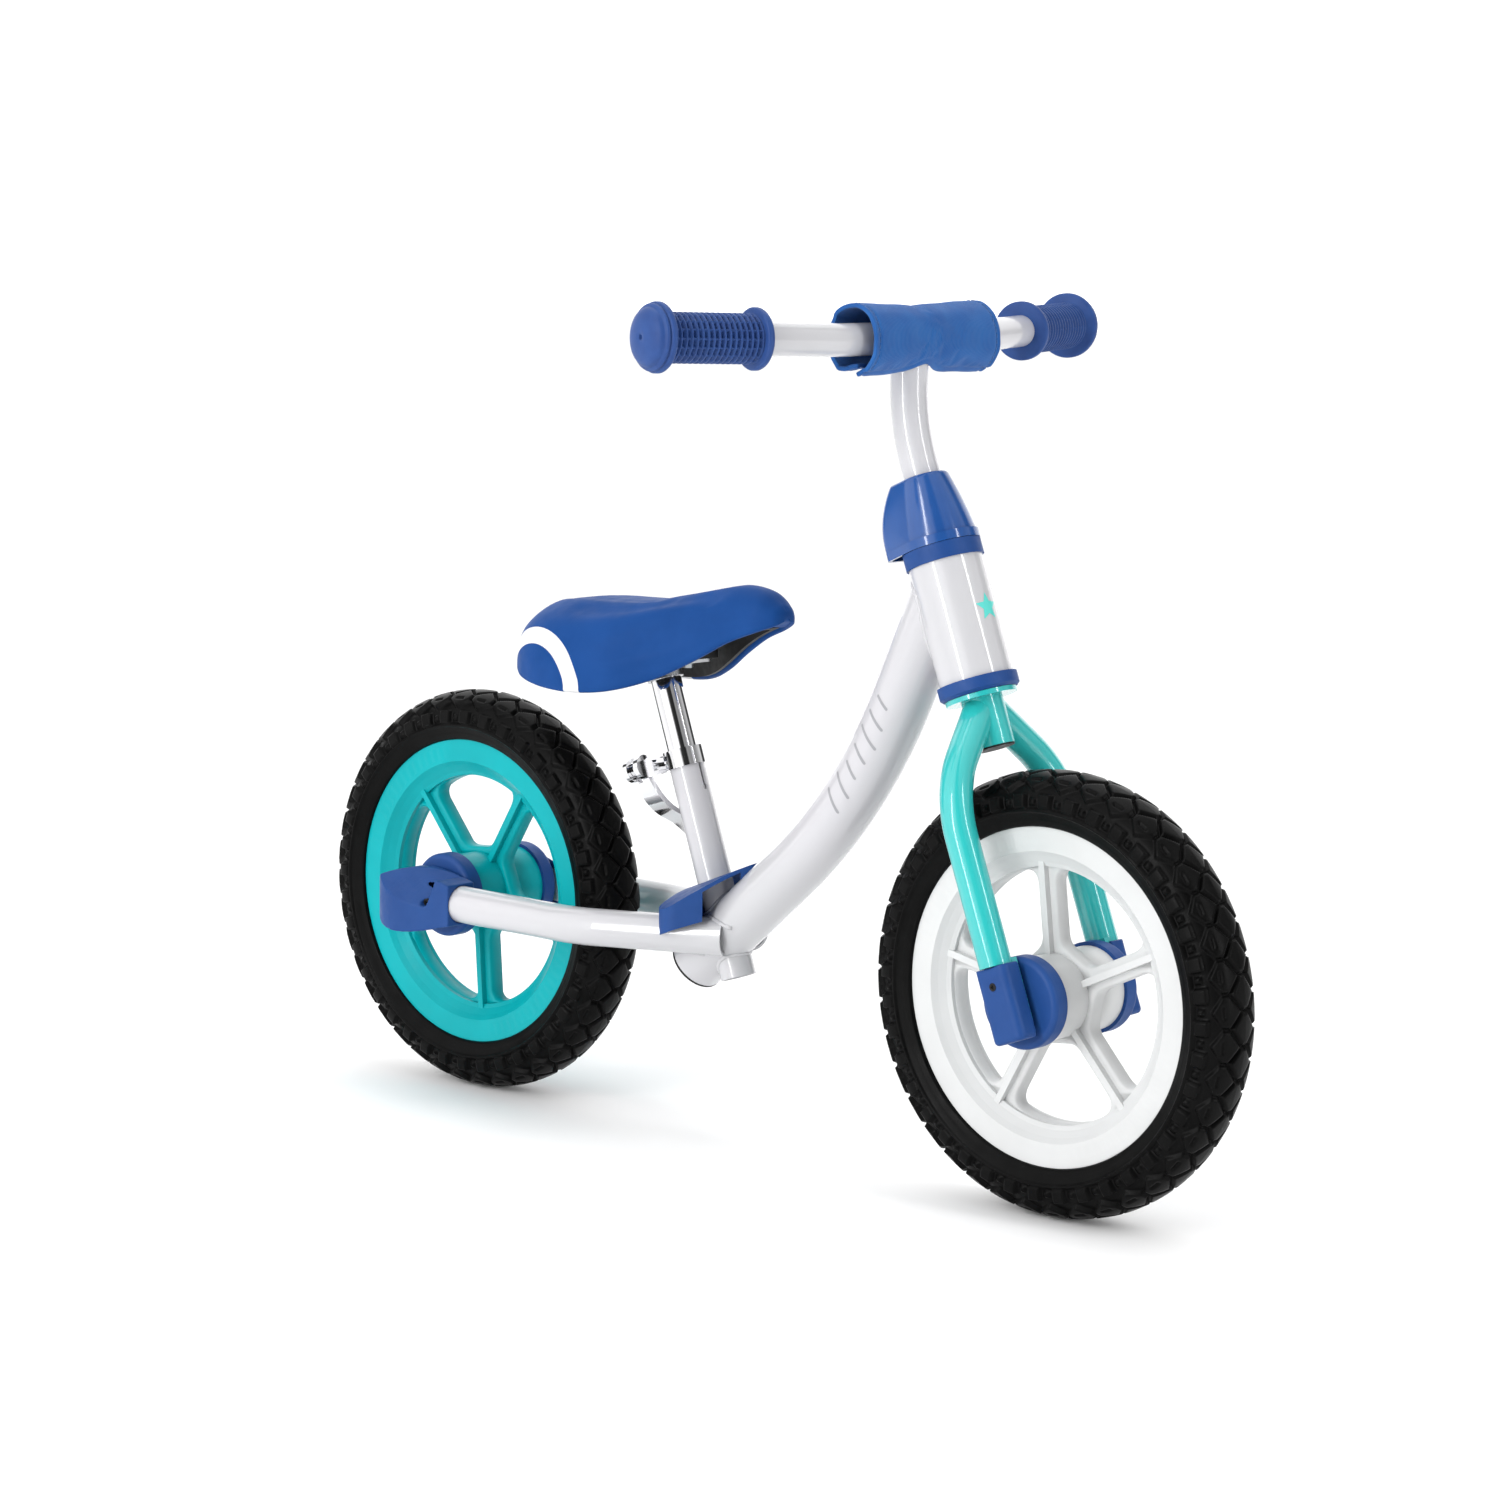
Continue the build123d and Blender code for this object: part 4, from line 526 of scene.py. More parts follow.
# ---- spoke webs ------------------------------------------------------------
HUB_RADIUS = 28.5
LIP_RADIUS = 86.5
HALF_GAP = math.radians(36)


def rounded(corners, reaches):
    """Outline with each corner turned into a curve that starts its own reach before it."""
    outline = []
    for number, (corner, reach) in enumerate(zip(corners, reaches)):
        before = (corners[number - 1] - corner).normalized() * reach
        after = (corners[(number + 1) % len(corners)] - corner).normalized() * reach
        for share in np.linspace(0, 1, 8) if reach else [0]:
            outline.append(corner + before * (1 - share) ** 2 + after * share ** 2)
    return outline


def window_outline(middle, inset):
    """Opening between two spokes: rounded at the hub, with wide fillets at the lip."""
    half_web, hub_reach, lip_reach = 7.6 - inset, 6.0, 13.0
    low, high = HUB_RADIUS + 5.5 - inset, LIP_RADIUS - 0.5 + inset
    corners, reaches = [], []
    for side, order in ((-1, 1), (1, -1)):
        spoke = middle + side * HALF_GAP
        along = Vector((math.cos(spoke), math.sin(spoke)))
        inward = Vector((math.sin(spoke), -math.cos(spoke))) * side
        ends = [(along * low + inward * half_web, hub_reach),
                (along * high + inward * half_web, lip_reach)][::order]
        corners += [corner for corner, _ in ends]
        reaches += [reach for _, reach in ends]
        if side < 0:
            arc = np.linspace(-0.36, 0.36, 9)
            corners += [Vector((math.cos(middle + a), math.sin(middle + a))) * high for a in arc]
            reaches += [0] * len(arc)
    return rounded(corners, reaches)


def web_mesh(middles):
    """Plate in the wheel's middle plane, closed between two skins, with one window per gap."""
    def circle(radius):
        return [Vector((math.cos(a), math.sin(a))) * radius
                for a in np.linspace(0, 2 * math.pi, 120, endpoint=False)]
    half, chamfer, lip_overlap, hub_overlap = 6.3, 1.2, 1.6, 1.0
    points, faces, skins = [], [], []
    for level, inset in ((half, chamfer), (half - chamfer, 0), (chamfer - half, 0), (-half, chamfer)):
        loops = [circle(LIP_RADIUS + lip_overlap), circle(HUB_RADIUS - hub_overlap)]
        loops += [window_outline(middle, inset) for middle in middles]
        first = len(points)
        points += [Vector((p.x, level, p.y)) * MM for loop in loops for p in loop]
        skins.append((first, loops))
    last = skins[-1][0]
    flat = [[Vector((p.x, p.y, 0)) for p in loop] for loop in skins[0][1]]
    for a, b, c in tessellate_polygon(flat):
        faces += [(a, b, c), (last + c, last + b, last + a)]
    for (upper, _), (lower, _) in zip(skins, skins[1:]):
        start = 0
        for loop in loops:
            for k in range(len(loop)):
                k, after = start + k, start + (k + 1) % len(loop)
                faces.append((upper + k, upper + after, lower + after, lower + k))
            start += len(loop)
    mesh = mesh_from("spoke_webs", points, faces)
    close_mesh(mesh)
    return mesh


def make_webs():
    for place, hub, slot in (("rear", rear_hub, "teal_plastic"), ("front", front_hub, "white_plastic")):
        middles = []
        for opening in record["physics"]["openings"]:
            if opening["name"].startswith(f"{place}_wheel_window"):
                low, high = map(Vector, opening["box_m"])
                centre = (low + high) / 2 - hub
                middles.append(math.atan2(centre.z, centre.x))
        webs = new_object(f"{place}_spoke_webs", web_mesh(middles))
        webs.location = hub
        finish_with(webs, slot)
        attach(webs, f"{place}_wheel")


# ---- grips -----------------------------------------------------------------
GRIP_FLANGE = ((0, 11.3), (0, 18.8), (0.4, 20.1), (1.4, 20.6), (3.8, 20.6), (4.8, 20.0), (5.1, 18.6),
               (5.2, 16.6), (5.8, 15.5))
GRIP_END = ((74.2, 15.4), (75.3, 17.2), (75.9, 20.6), (76.4, 22.4), (77.3, 23), (79.6, 23),
            (80.5, 22.4), (80.8, 20.9), (81.2, 20.8), (81.6, 21.6), (82.7, 21.9), (83.8, 21.3),
            (84.3, 19.7), (84.8, 19.2), (86.0, 18.9), (87.6, 17.6), (89.2, 14.6), (90.4, 10.4),
            (90.9, 5.6), (91.0, 2.2), (90.6, 1.7), (87.0, 1.7), (87.0, 0.01))
GRIP_RINGS = 16
GRIP_BARS = 16


def grip_mesh(side):
    """A revolved grip whose barrel carries fine rings joined by lower bars, with pits between."""
    around, per_ring = GRIP_BARS * 8, 9
    low, high = 6.2, 74.0
    ring_top, bar_top, floor = 16.6, 16.0, 12.7
    along = np.linspace(low, high, GRIP_RINGS * per_ring + 1)
    turn = np.linspace(0, 2 * math.pi, around, endpoint=False)
    ring_pitch = (high - low) / GRIP_RINGS
    off_ring = np.abs((along - low + ring_pitch / 2) % ring_pitch - ring_pitch / 2)
    bar_pitch = 2 * math.pi * bar_top / GRIP_BARS
    off_bar = np.abs((turn * GRIP_BARS / (2 * math.pi) + 0.5) % 1 - 0.5) * bar_pitch
    ring = ring_top - (ring_top - floor) * step(off_ring, 0.45, 1.0)
    bar = bar_top - (bar_top - floor) * step(off_bar, 0.6, 1.1)
    barrel = np.maximum(ring[:, None], bar[None, :])
    sections = [(t, np.full(around, r)) for t, r in GRIP_FLANGE]
    sections += list(zip(along, barrel))
    sections += [(t, np.full(around, r)) for t, r in GRIP_END]
    out = Vector((-math.tan(BAR_SWEEP), side, BAR_RISE / BAR_ARM)).normalized()
    across = out.cross(UP).normalized()
    upward = across.cross(out)
    tip = Vector((bar_low.x + BAR_RADIUS * math.cos(BAR_SWEEP) * MM,
                  side * (bar_high.y - BAR_RADIUS * math.sin(BAR_SWEEP) * MM),
                  bar_high.z - BAR_RADIUS * MM))
    start = tip + out * (GRIP_CAP - GRIP_LENGTH) * MM
    circle = np.outer(np.cos(turn), across) + np.outer(np.sin(turn), upward)
    points = np.vstack([np.array(start) + np.array(out) * t * MM + circle * r[:, None] * MM
                        for t, r in sections])
    faces = grid_faces(len(sections), around, close_columns=True)
    return mesh_from(f"grip_{'left' if side > 0 else 'right'}_waffle", points, faces)


def make_grips():
    for name, side in (("left", 1), ("right", -1)):
        mesh = grip_mesh(side)
        grip = new_object(f"waffle_grip_{name}", mesh)
        close_mesh(mesh)
        finish_with(grip, "blue_rubber")
        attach(grip, "handlebar")
        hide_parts(f"grip_{name}")


def close_mesh(mesh):
    """Caps open ends, welds doubled points and turns every face outward."""
    shape = bmesh.new()
    shape.from_mesh(mesh)
    bmesh.ops.remove_doubles(shape, verts=shape.verts, dist=0.00002)
    open_edges = [edge for edge in shape.edges if edge.is_boundary]
    if open_edges:
        bmesh.ops.holes_fill(shape, edges=open_edges, sides=0)
    bmesh.ops.recalc_face_normals(shape, faces=shape.faces)
    shape.to_mesh(mesh)
    shape.free()
    shade_soft(mesh)


# ---- moulded shells --------------------------------------------------------
def make_shells():
    """Axle covers with the soft radii that the mould leaves on every edge."""
    voxel_mm, passes = 0.9, 3
    for name in ("rear_cover_left", "rear_cover_right", "front_cover_left", "front_cover_right"):
        shell = new_object(f"moulded_{name}", frame["nodes"][name].data.copy())
        remesh = shell.modifiers.new("remesh", "REMESH")
        remesh.mode = "VOXEL"
        remesh.voxel_size = voxel_mm * MM
        smooth = shell.modifiers.new("smooth", "SMOOTH")
        smooth.iterations = passes
        moulded = shell.evaluated_get(bpy.context.evaluated_depsgraph_get())
        mesh = bpy.data.meshes.new_from_object(moulded)
        shell.modifiers.clear()
        shell.data = mesh
        shade_soft(mesh)
        finish_with(shell, slot_of[name])
        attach(shell, "fork" if name.startswith("front") else "frame")
        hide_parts(name)


# ---- handlebar pad ---------------------------------------------------------
# the wrap's section round the bar, forward and up, from its tucked edge under
# the bar, round the back, over the top and down to the flap at the lower front
PAD_SECTION = ((6, -18.4), (-5, -19.6), (-14, -18.6), (-20.4, -12), (-22, 0), (-21, 11), (-14, 19.6),
               (-3, 22.6), (8, 22.2), (17, 17.4), (21.6, 8), (21.8, -3), (18.4, -13), (12, -20.4),
               (5.5, -24.2))
PAD_THICK = 3.0
SEWN_FROM_END = 4.2


def pad_sheet():
    """Points of the wrap's outer skin: rows along the bar, columns round it."""
    rows, columns = 96, 96
    stem_gap, tuck_cut, flap_cut = 13.5, 16.5, 11.0
    middle_sag, wave_height, end_tilt = 0.05, 0.25, 1.92
    length = (pad_high.y - pad_low.y) / MM
    section = through(PAD_SECTION, 200)
    total = run_length(section)[-1]
    sheet = []
    for row in range(rows):
        place = row / (rows - 1)
        y = pad_low.y / MM + place * length
        at_stem = math.exp(-(y / stem_gap) ** 2)
        places = np.linspace(at_stem * tuck_cut, total - at_stem * flap_cut, columns)
        ring = along_run(section, places)
        sag = 1 - middle_sag * math.sin(place * math.pi) ** 2
        wave = wave_height * np.sin(np.linspace(0, 9, columns) + y * 0.21) * math.sin(place * 3.1)
        shape = ring * sag + ring / np.linalg.norm(ring, axis=1)[:, None] * wave[:, None]
        tilt = end_tilt * (place - 0.5) * np.cos(np.linspace(0, 2 * math.pi, columns))
        sheet.append(np.stack((shape[:, 0], y + tilt, shape[:, 1]), 1))
    return np.array(sheet)


def settle(points, faces, held_points, pressure, stiffness, growth, most):
    """Lets a cover fill out and crease as cloth for 20 frames, then caps how far each point may
    move, in mm."""
    cloth = new_object("settling", mesh_from("settling", points * MM, faces))
    held = cloth.vertex_groups.new(name="held")
    held.add([int(number) for number in held_points], 1.0, "REPLACE")
    modifier = cloth.modifiers.new("cloth", "CLOTH")
    settings = modifier.settings
    settings.quality = 6
    settings.tension_stiffness = stiffness
    settings.bending_stiffness = 1.8
    settings.use_pressure = True
    settings.uniform_pressure_force = pressure
    settings.vertex_group_mass = "held"
    settings.shrink_min = -growth
    settings.effector_weights.gravity = 0
    modifier.collision_settings.use_collision = False
    scene = bpy.context.scene
    for moment in range(1, 21):
        scene.frame_set(moment)
    moved = cloth.evaluated_get(bpy.context.evaluated_depsgraph_get())
    found = np.array([v.co for v in moved.data.vertices]) / MM
    bpy.data.objects.remove(cloth)
    scene.frame_set(1)
    shift = found - points
    size = np.linalg.norm(shift, axis=1, keepdims=True)
    print("cloth moved up to", round(float(size.max()), 2), "mm")
    return points + shift * np.minimum(1, most / np.maximum(size, 1e-6))


def sheet_normals(sheet):
    """Unit normals of a sheet round the bar, pointing away from it."""
    normal = np.cross(np.gradient(sheet, axis=0), np.gradient(sheet, axis=1))
    normal /= np.linalg.norm(normal, axis=2, keepdims=True)
    row, column = sheet.shape[0] // 2, sheet.shape[1] // 2
    outward = (normal[row, column] * sheet[row, column] * (1, 0, 1)).sum() > 0
    return normal if outward else -normal


def make_pad():
    sheet = pad_sheet()
    rows, columns = sheet.shape[:2]
    numbers = np.arange(rows * columns).reshape(rows, columns)
    seam = np.concatenate((numbers[:, :5], numbers[:, -5:]), 1).ravel()
    stem = numbers[int(rows * 0.44):int(rows * 0.49), ::6].ravel()
    held = np.concatenate((seam, stem))
    sheet = settle(sheet.reshape(-1, 3), grid_faces(rows, columns), held,
                   pressure=1.2, stiffness=25, growth=0.01, most=1.4).reshape(sheet.shape)
    normal = sheet_normals(sheet)
    outer = sheet - normal * hem_groove(sheet)[..., None]
    inner = sheet - normal * PAD_THICK
    pad = new_object("wrapped_bar_pad", wrap_mesh(outer, inner))
    pad.location = bar_centre
    finish_with(pad, "blue_fabric")
    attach(pad, "handlebar")
    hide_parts("handlebar_pad")
    stitches = new_object("pad_stitching", stitch_mesh(outer, normal))
    stitches.location = bar_centre
    finish_with(stitches, "blue_fabric", sewing_thread("polyester_thread_blue", "#24538F"))
    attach(stitches, "handlebar")


def hem_groove(sheet):
    """Depth of the line that is sewn just in from each end and along the flap."""
    deep, half_width = 0.8, 0.9
    from_end = np.minimum(sheet[:, :, 1] - sheet[:1, :, 1], sheet[-1:, :, 1] - sheet[:, :, 1])
    ends = np.exp(-((from_end - SEWN_FROM_END) / half_width) ** 2)
    columns = sheet.shape[1]
    flap = np.exp(-((np.arange(columns) - (columns - 5)) / half_width) ** 2)[None, :]
    return deep * np.maximum(ends, flap)


def wrap_mesh(outer, inner):
    """Closes two skins into one thick sheet with a rounded edge all round."""
    rows, columns = outer.shape[:2]
    count = rows * columns
    points = np.vstack((outer.reshape(-1, 3), inner.reshape(-1, 3))) * MM
    faces = grid_faces(rows, columns)
    faces += [tuple(count + k for k in reversed(face)) for face in grid_faces(rows, columns)]
    border = [row * columns for row in range(rows)]
    border += [(rows - 1) * columns + column for column in range(1, columns)]
    border += [row * columns + columns - 1 for row in range(rows - 2, -1, -1)]
    border += list(range(columns - 2, 0, -1))
    for first, second in zip(border, border[1:] + border[:1]):
        faces.append((first, second, count + second, count + first))
    mesh = mesh_from("wrap", points, faces)
    shape = bmesh.new()
    shape.from_mesh(mesh)
    bmesh.ops.recalc_face_normals(shape, faces=shape.faces)
    rim = [edge for edge in shape.edges if edge.calc_face_angle(0) > 1.0]
    bmesh.ops.bevel(shape, geom=rim, offset=0.9 * MM, segments=3, affect="EDGES", profile=0.6)
    shape.to_mesh(mesh)
    shape.free()
    shade_soft(mesh)
    return mesh


def capsule(start, end, radius, sides=6):
    """A short rounded strand from start to end."""
    start, end = Vector(start), Vector(end)
    ahead = (end - start).normalized()
    across = ahead.orthogonal().normalized()
    upward = ahead.cross(across)
    rings = ((-0.4, 0.45), (0.0, 0.9), (0.3, 1.0), (0.7, 1.0), (1.0, 0.9), (1.04, 0.45))
    points = []
    for place, share in rings:
        middle = start.lerp(end, place) if 0 <= place <= 1 else (start if place < 0 else end)
        for number in range(sides):
            turn = 2 * math.pi * number / sides
            points.append(middle + (across * math.cos(turn) + upward * math.sin(turn)) * radius * share)
    faces = grid_faces(len(rings), sides, close_columns=True)
    last = (len(rings) - 1) * sides
    faces += [tuple(range(sides - 1, -1, -1)), tuple(range(last, last + sides))]
    return points, faces


def join_shapes(name, shapes):
    """One mesh from several closed shapes."""
    points, faces = [], []
    for some_points, some_faces in shapes:
        first = len(points)
        points += [tuple(p) for p in some_points]
        faces += [tuple(first + k for k in face) for face in some_faces]
    mesh = mesh_from(name, points, faces)
    close_mesh(mesh)
    return mesh


def stitch_mesh(outer, normal):
    """Stitches 2.6 mm long along the sewn lines at both ends of the wrap."""
    stitch, gap, radius, proud = 2.6, 1.3, 0.32, 0.25
    shapes = []
    columns = outer.shape[1]
    for inward in (1, -1):
        rim = []
        for column in range(1, columns - 1):
            line = outer[::inward, column]
            lengths = run_length(line)
            at = min(int(np.searchsorted(lengths, SEWN_FROM_END)), len(lengths) - 1)
            rim.append(line[at] + normal[::inward, column][at] * proud)
        rim = np.array(rim)
        total = run_length(rim)[-1]
        for place in np.arange(1.0, total - stitch, stitch + gap):
            first, second = along_run(rim, [place, place + stitch])
            shapes.append(capsule(first * MM, second * MM, radius * MM))
    return join_shapes("stitches", shapes)


# ---- saddle ----------------------------------------------------------------
# distance forward, half width, top height and edge height, from a point above the seat post;
# the arch is the outer skin's section, from edge to edge, as shares of half width and height
SADDLE_STATIONS = (
    (-119.6, 5, 28, 20.5), (-118.6, 15, 32.5, 18.5), (-115, 27, 39, 15.5), (-104, 41, 49.5, 9.5),
    (-86, 53, 59, 5.5), (-60, 60.5, 64.5, 2.5), (-28, 62, 65.5, 2), (2, 55, 67.5, 5.5),
    (32, 41, 72, 15.5), (60, 29, 78, 30.5), (84, 23.5, 82, 44), (105, 19.5, 79, 52.5),
    (116.5, 13.2, 71.6, 57.2), (120.2, 8.6, 68.2, 59.4), (121.6, 3.4, 65.6, 61.4))
SADDLE_BACK = 114.0
SADDLE_DROP = 2.0
SADDLE_ARCH = ((-1, 0), (-0.985, 0.34), (-0.8, 0.72), (-0.42, 0.95), (0, 1),
               (0.42, 0.95), (0.8, 0.72), (0.985, 0.34), (1, 0))


def saddle_ring(forward, half, top, low):
    """One closed section: the crowned outside, a rolled lower edge and the inside wall."""
    arch = through(SADDLE_ARCH, 49) * (half, top - low) + (0, low)
    roll = min(5.0, half * 0.4)
    inside, slope = half - roll, (half - roll) * 0.98
    hollow = min(step(forward, -117, -100), 1 - step(forward, 92, 108))
    ceiling = low - 0.4 + (top - low) * 0.55 * hollow
    under = [(half - roll * 0.12, low - 1.4), (half - roll * 0.5, low - 2.1), (inside, low - 0.6),
             (slope, min(low + 3, ceiling)), (inside * 0.94, (low + ceiling) / 2),
             (inside * 0.7, ceiling)]
    far = [(-y, z) for y, z in reversed(under)]
    return np.vstack((arch, under, [(0, ceiling + 1)], far))


def make_saddle():
    origin = Vector((saddle_low.x + SADDLE_BACK * MM, 0, saddle_low.z - SADDLE_DROP * MM))
    stations = through(SADDLE_STATIONS, 90)
    rings = np.array([saddle_ring(*station) for station in stations])
    along = np.repeat(stations[:, :1], rings.shape[1], 1)
    points = np.stack((along, rings[..., 0], rings[..., 1]), -1).reshape(-1, 3)
    faces = grid_faces(*rings.shape[:2], close_columns=True)
    column = np.tile(np.arange(rings.shape[1]), len(rings))
    row = np.repeat(np.arange(len(rings)), rings.shape[1])
    held = (column < 2) | (column > 46) | (row < 3) | (row > len(rings) - 4)
    points = settle(points, faces, np.flatnonzero(held),
                    pressure=4.0, stiffness=30, growth=0.0, most=2.0)
    mesh = mesh_from("saddle_cover", points * MM + np.array(origin), faces)
    close_mesh(mesh)
    saddle = new_object("vinyl_saddle_cover", mesh)
    finish_with(saddle, "blue_vinyl")
    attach(saddle, "seat")
    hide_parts("saddle_cushion")


# ---- weld beads ------------------------------------------------------------
HEAD_JOINT_UP = 290.5
MAIN_LEAN = math.radians(66.5)
STAY_END = (-16.0, 13.5)
STAY_RUN = (103.0, 46.5)


def weld_bead(name, start, ahead, radius, target, bead):
    """A rippled bead where a tube that runs from start, along ahead, meets a CAD node. It is a
    closed ring, or the longest run where part of the tube misses the node."""
    rays, reach, sides, ripples, swelling = 96, 0.25, 8, 34, 0.14
    tree = surface_of(target)
    start, ahead = Vector(start), Vector(ahead).normalized()
    across = ahead.orthogonal().normalized()
    upward = ahead.cross(across)
    line = []
    for number in range(rays):
        turn = 2 * math.pi * number / rays
        side = across * math.cos(turn) + upward * math.sin(turn)
        hit = tree.ray_cast(start + side * radius * MM, ahead, reach)
        line.append(None if hit[0] is None else (hit[0], (side + hit[1]).normalized()))
    closed = None not in line
    if not closed:
        gap = line.index(None)
        line = line[gap:] + line[:gap]
        runs = [[]]
        for point in line:
            runs.append([]) if point is None else runs[-1].append(point)
        line = max(runs, key=len)
    points = []
    for number, (middle, lean) in enumerate(line):
        after = line[(number + 1) % len(line)] if closed else line[min(number + 1, len(line) - 1)]
        before = line[number - 1] if closed else line[max(number - 1, 0)]
        forward = (after[0] - before[0]).normalized()
        upright = forward.cross(lean).normalized()
        swell = 1 + swelling * math.sin(2 * math.pi * ripples * number / rays)
        for side in range(sides):
            turn = 2 * math.pi * side / sides
            outward = lean * math.cos(turn) * 0.8 + upright * math.sin(turn)
            points.append(middle + outward * bead * MM * swell)
    mesh = mesh_from(name, points, grid_faces(len(line), sides, closed, True))
    close_mesh(mesh)
    weld = new_object(name, mesh)
    finish_with(weld, "white_paint")
    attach(weld, "frame")


def make_welds():
    seat_up = Vector(joints["seat_height"]["axis"])
    weld_bead("weld_seat_tube_upper", seat_axis_at(110), -seat_up, SEAT_TUBE_RADIUS, "main_tube", 1.5)
    weld_bead("weld_seat_tube_lower", seat_axis_at(-60), seat_up, SEAT_TUBE_RADIUS, "main_tube", 1.5)
    head = front_hub + steer_up * HEAD_JOINT_UP * MM
    toward = Vector((math.cos(MAIN_LEAN), 0, math.sin(MAIN_LEAN)))
    weld_bead("weld_main_to_head", head - toward * 0.11, toward, MAIN_RADIUS, "head_tube", 1.8)
    for name, side in (("right", -1), ("left", 1)):
        inward = Vector((STAY_RUN[0], -STAY_RUN[1] * side, 0)).normalized()
        stay_end = Vector((STAY_END[0] * MM, STAY_END[1] * MM * side, rear_hub.z))
        weld_bead(f"weld_stay_{name}", stay_end - inward * 0.07, inward, STAY_RADIUS, "main_tube", 1.7)


def seat_axis_at(distance):
    """A point on the seat tube's axis, that many mm above the wheel centres' height."""
    up = Vector(joints["seat_height"]["axis"])
    low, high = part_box("seat_post")
    middle = Vector(((low.x + high.x) / 2, 0, (low.z + high.z) / 2))
    return middle + up * ((rear_hub.z - middle.z) / up.z + distance * MM)


# ---- printed motifs --------------------------------------------------------
# centre and radius of the main tube's bend
MAIN_BEND = Vector((-231.4, 0, 501.4))
MAIN_BEND_RADIUS = 400.0


def film(name, target, outlines, lay, aim, body, material):
    """Lays flat outlines on a CAD surface as an ink film; lay gives a start point in the air."""
    longest, proud = 1.2, 0.12
    tree = surface_of(target)
    shape = bmesh.new()
    for outline in outlines:
        corners = [shape.verts.new((x, y, 0)) for x, y in outline]
        bmesh.ops.triangulate(shape, faces=[shape.faces.new(corners)])
    for _ in range(3):
        long = [edge for edge in shape.edges if edge.calc_length() > longest]
        bmesh.ops.subdivide_edges(shape, edges=long, cuts=1)
        bmesh.ops.triangulate(shape, faces=shape.faces)
    for vertex in shape.verts:
        start = lay(vertex.co.x, vertex.co.y)
        hit = tree.ray_cast(start, Vector(aim), 0.2)
        vertex.co = hit[0] + hit[1] * proud * MM
    bmesh.ops.recalc_face_normals(shape, faces=shape.faces)
    mesh = bpy.data.meshes.new(name)
    shape.to_mesh(mesh)
    shape.free()
    piece = new_object(name, mesh)
    if piece.data.polygons[0].normal.dot(Vector(aim)) > 0:
        piece.data.flip_normals()
    piece.data.materials.append(material)
    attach(piece, body)


def dash(x, y, length, width, lean):
    """Outline of a slanted dash with round ends."""
    turn = Matrix.Rotation(lean, 2)
    corners = []
    for end, first in ((1, -90), (-1, 90)):
        for number in range(7):
            angle = math.radians(first + 30 * number)
            spot = Vector((end * length / 2 + width / 2 * math.cos(angle), width / 2 * math.sin(angle)))
            spot = turn @ spot
            corners.append((x + spot.x, y + spot.y))
    return corners


def along_tube(side):
    """Where a spot on the main tube's bend, s along it and t across, starts beside the tube."""
    def lay(s, t):
        angle = math.radians(-31.0) + s / MAIN_BEND_RADIUS
        outward = Vector((math.cos(angle), 0, math.sin(angle)))
        return (MAIN_BEND + outward * (MAIN_BEND_RADIUS - t)) * MM + Vector((0, side * 0.05, 0))
    return lay


def make_motifs():
    grey = pad_print("ink_grey", "#98989C")
    teal = pad_print("ink_turquoise", "#55D2C8")
    dashes = [dash(14.0 * number - 42, 0, 10 + 9 * abs(math.sin(1 + number * 0.9)), 2.2, 1.15)
              for number in range(7)]
    for name, side in (("right", -1), ("left", 1)):
        film(f"tube_motif_{name}", "main_tube", dashes, along_tube(side), (0, -side, 0), "frame", grey)
    fore = Vector((steer_up.z, 0, -steer_up.x))
    tip, notch, star_up = 10.0, 4.6, 260.7
    star = [((notch if k % 2 else tip) * math.sin(math.pi * k / 5),
             (notch if k % 2 else tip) * math.cos(math.pi * k / 5)) for k in range(10)]

    def on_head(x, y):
        return front_hub + steer_up * (star_up + y) * MM + Vector((0, x * MM, 0)) + fore * 0.06
    film("head_motif", "head_tube", [star], on_head, -fore, "frame", teal)


# ---- stage, light and camera -----------------------------------------------
def make_stage():
    size = 12.0
    corners = [(-size, -size, 0), (size, -size, 0), (size, size, 0), (-size, size, 0)]
    floor = new_object("studio_floor", mesh_from("studio_floor", corners, [(0, 1, 2, 3)]))
    paper = new_material("studio_paper", "#FBFBFB", Roughness=0.9, Specular_IOR_Level=0.1)[0]
    floor.data.materials.append(paper)


def area_light(name, place, target, size, power):
    light = bpy.data.lights.new(name, "AREA")
    light.shape = "RECTANGLE"
    light.size, light.size_y = size
    light.energy = power
    lamp = new_object(name, light)
    lamp.location = place
    lamp.rotation_euler = (Vector(target) - Vector(place)).to_track_quat("-Z", "Y").to_euler()


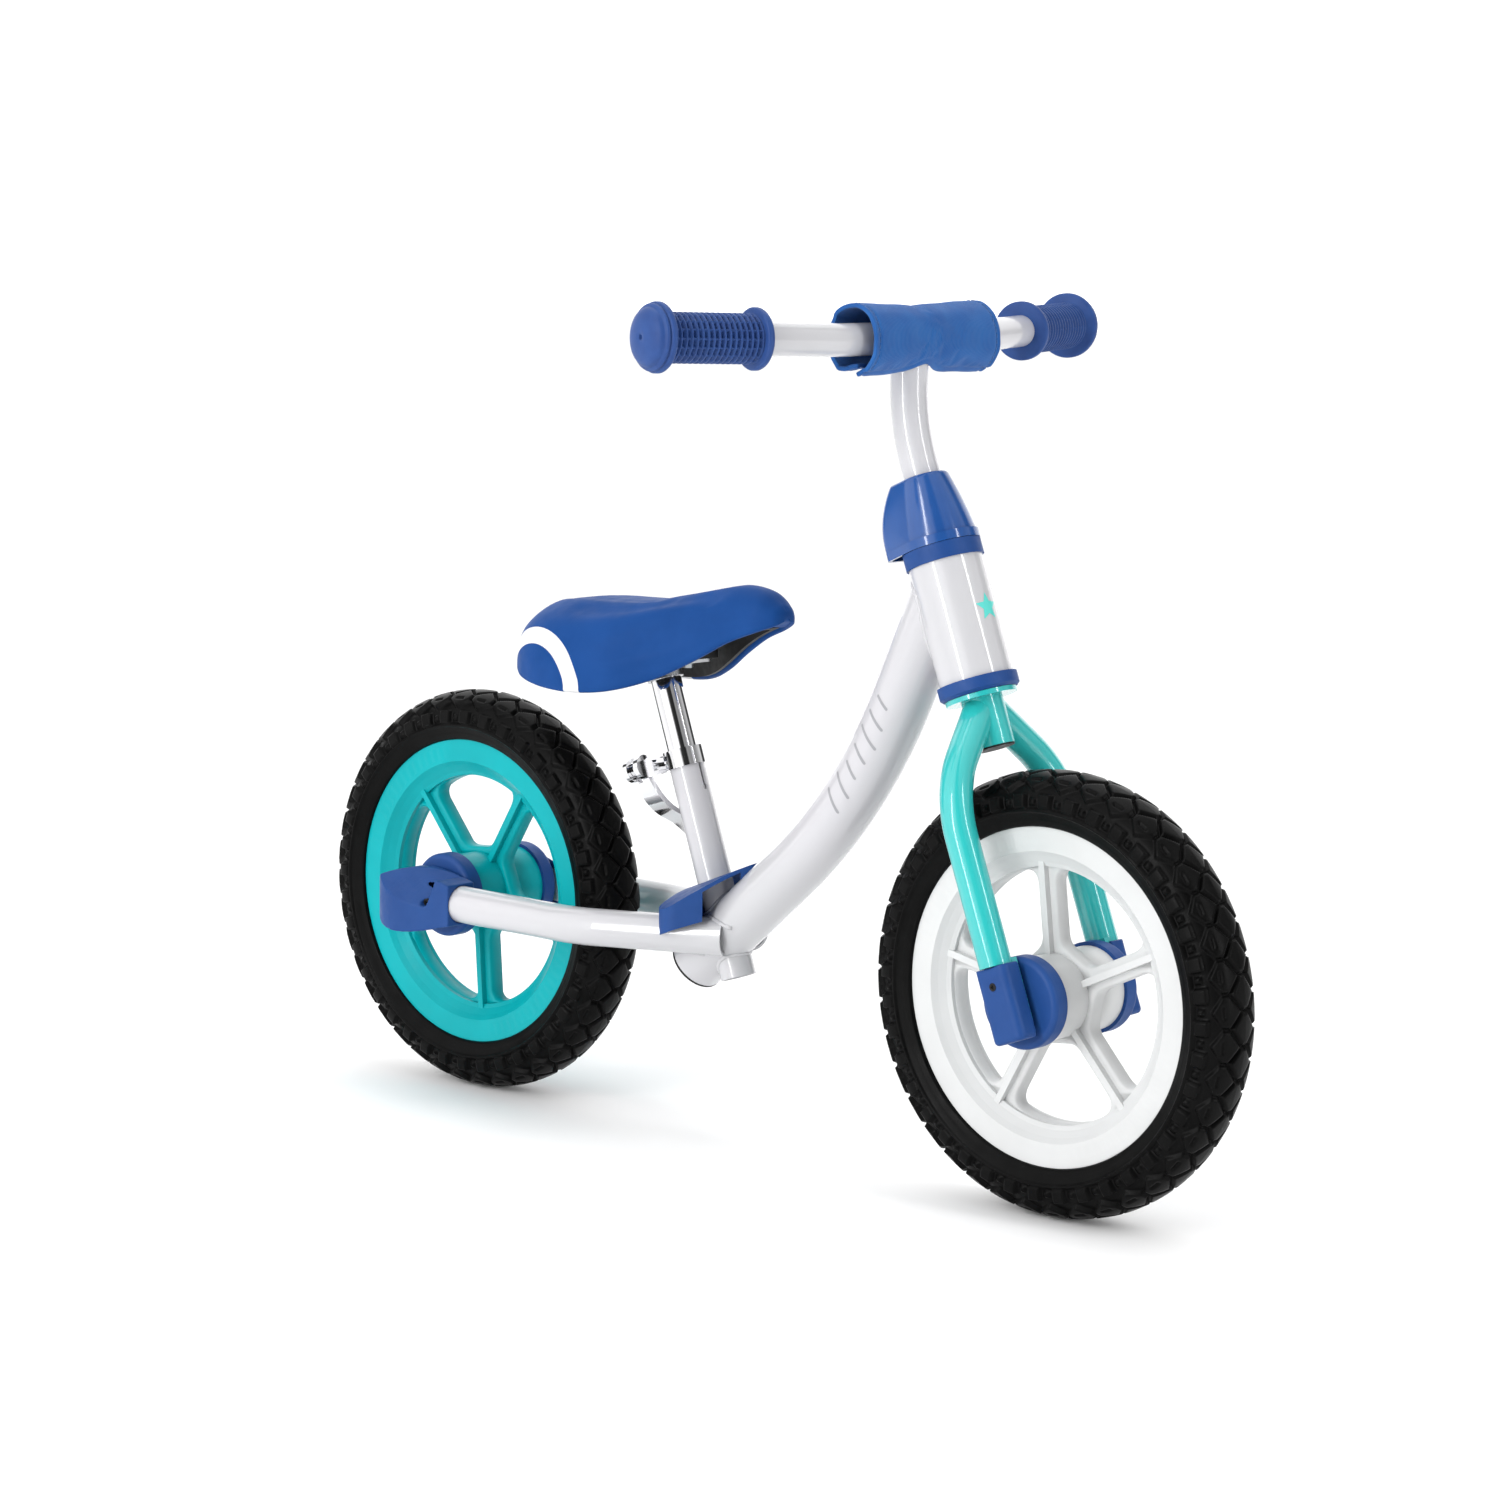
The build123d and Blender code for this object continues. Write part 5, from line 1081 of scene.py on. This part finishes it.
def make_lights():
    """Two tall strips and a soft top light in a white room that is darker in front, with three
    dark upright flags that give the glossy paint its edges."""
    middle = (0, 0, 0.3)
    area_light("strip_left", (0.1, -2.7, 1.3), middle, (0.26, 2.2), 34)
    area_light("strip_right", (2.7, 0.25, 1.3), middle, (0.24, 2.2), 24)
    area_light("softbox_top", (-0.6, 0.2, 2.8), middle, (1.6, 1.6), 10)
    world = bpy.data.worlds.new("studio")
    world.use_nodes = True
    tree = world.node_tree
    place = add_node(tree, "ShaderNodeTexCoord").outputs["Generated"]
    forward = add_node(tree, "ShaderNodeSeparateXYZ", inputs={0: place}).outputs["X"]
    walls = add_node(tree, "ShaderNodeValToRGB", inputs={"Fac": forward})
    walls.color_ramp.elements[0].position = 0.2
    walls.color_ramp.elements[0].color = (1, 1, 1, 1)
    walls.color_ramp.elements[1].position = 0.85
    walls.color_ramp.elements[1].color = (0.2, 0.2, 0.2, 1)
    flat = add_node(tree, "ShaderNodeVectorMath", {"operation": "MULTIPLY"}, {0: place, 1: (1, 1, 0)})
    level = add_node(tree, "ShaderNodeVectorMath", {"operation": "NORMALIZE"}, {0: flat.outputs[0]})
    shade = walls.outputs["Color"]
    for heading, half_width in ((-48, 17), (-166, 11), (68, 11)):
        aim, blur = math.radians(heading), 4
        near = add_node(tree, "ShaderNodeVectorMath", {"operation": "DOT_PRODUCT"},
                        {0: level.outputs[0], 1: (math.cos(aim), math.sin(aim), 0)})
        flag = add_node(tree, "ShaderNodeMapRange", inputs={
            "Value": near.outputs["Value"], "To Min": 1.0, "To Max": 0.04,
            "From Min": math.cos(math.radians(half_width + blur)),
            "From Max": math.cos(math.radians(half_width - blur))})
        shade = add_node(tree, "ShaderNodeVectorMath", {"operation": "SCALE"},
                         {0: shade, "Scale": flag.outputs["Result"]}).outputs[0]
    tree.links.new(shade, tree.nodes["Background"].inputs["Color"])
    tree.nodes["Background"].inputs["Strength"].default_value = 1.6
    bpy.context.scene.world = world


def make_camera():
    azimuth, elevation, roll = math.radians(42.29), math.radians(8.10), math.radians(0.88)
    look = Vector((-math.sin(azimuth) * math.cos(elevation),
                   math.cos(azimuth) * math.cos(elevation), -math.sin(elevation)))
    data = bpy.data.cameras.new("studio_camera")
    data.lens = 98.29
    data.sensor_width = 36.0
    camera = new_object("studio_camera", data)
    camera.location = (1.9121, -2.1103, 0.6893)
    turn = look.to_track_quat("-Z", "Y").to_matrix() @ Matrix.Rotation(roll, 3, "Z")
    camera.rotation_euler = turn.to_euler()
    bpy.context.scene.camera = camera


bpy.context.scene.view_settings.view_transform = "Standard"
paint_frame_nodes()
make_tyres()
make_webs()
make_shells()
make_grips()
make_pad()
make_saddle()
make_welds()
make_motifs()
make_stage()
make_lights()
make_camera()
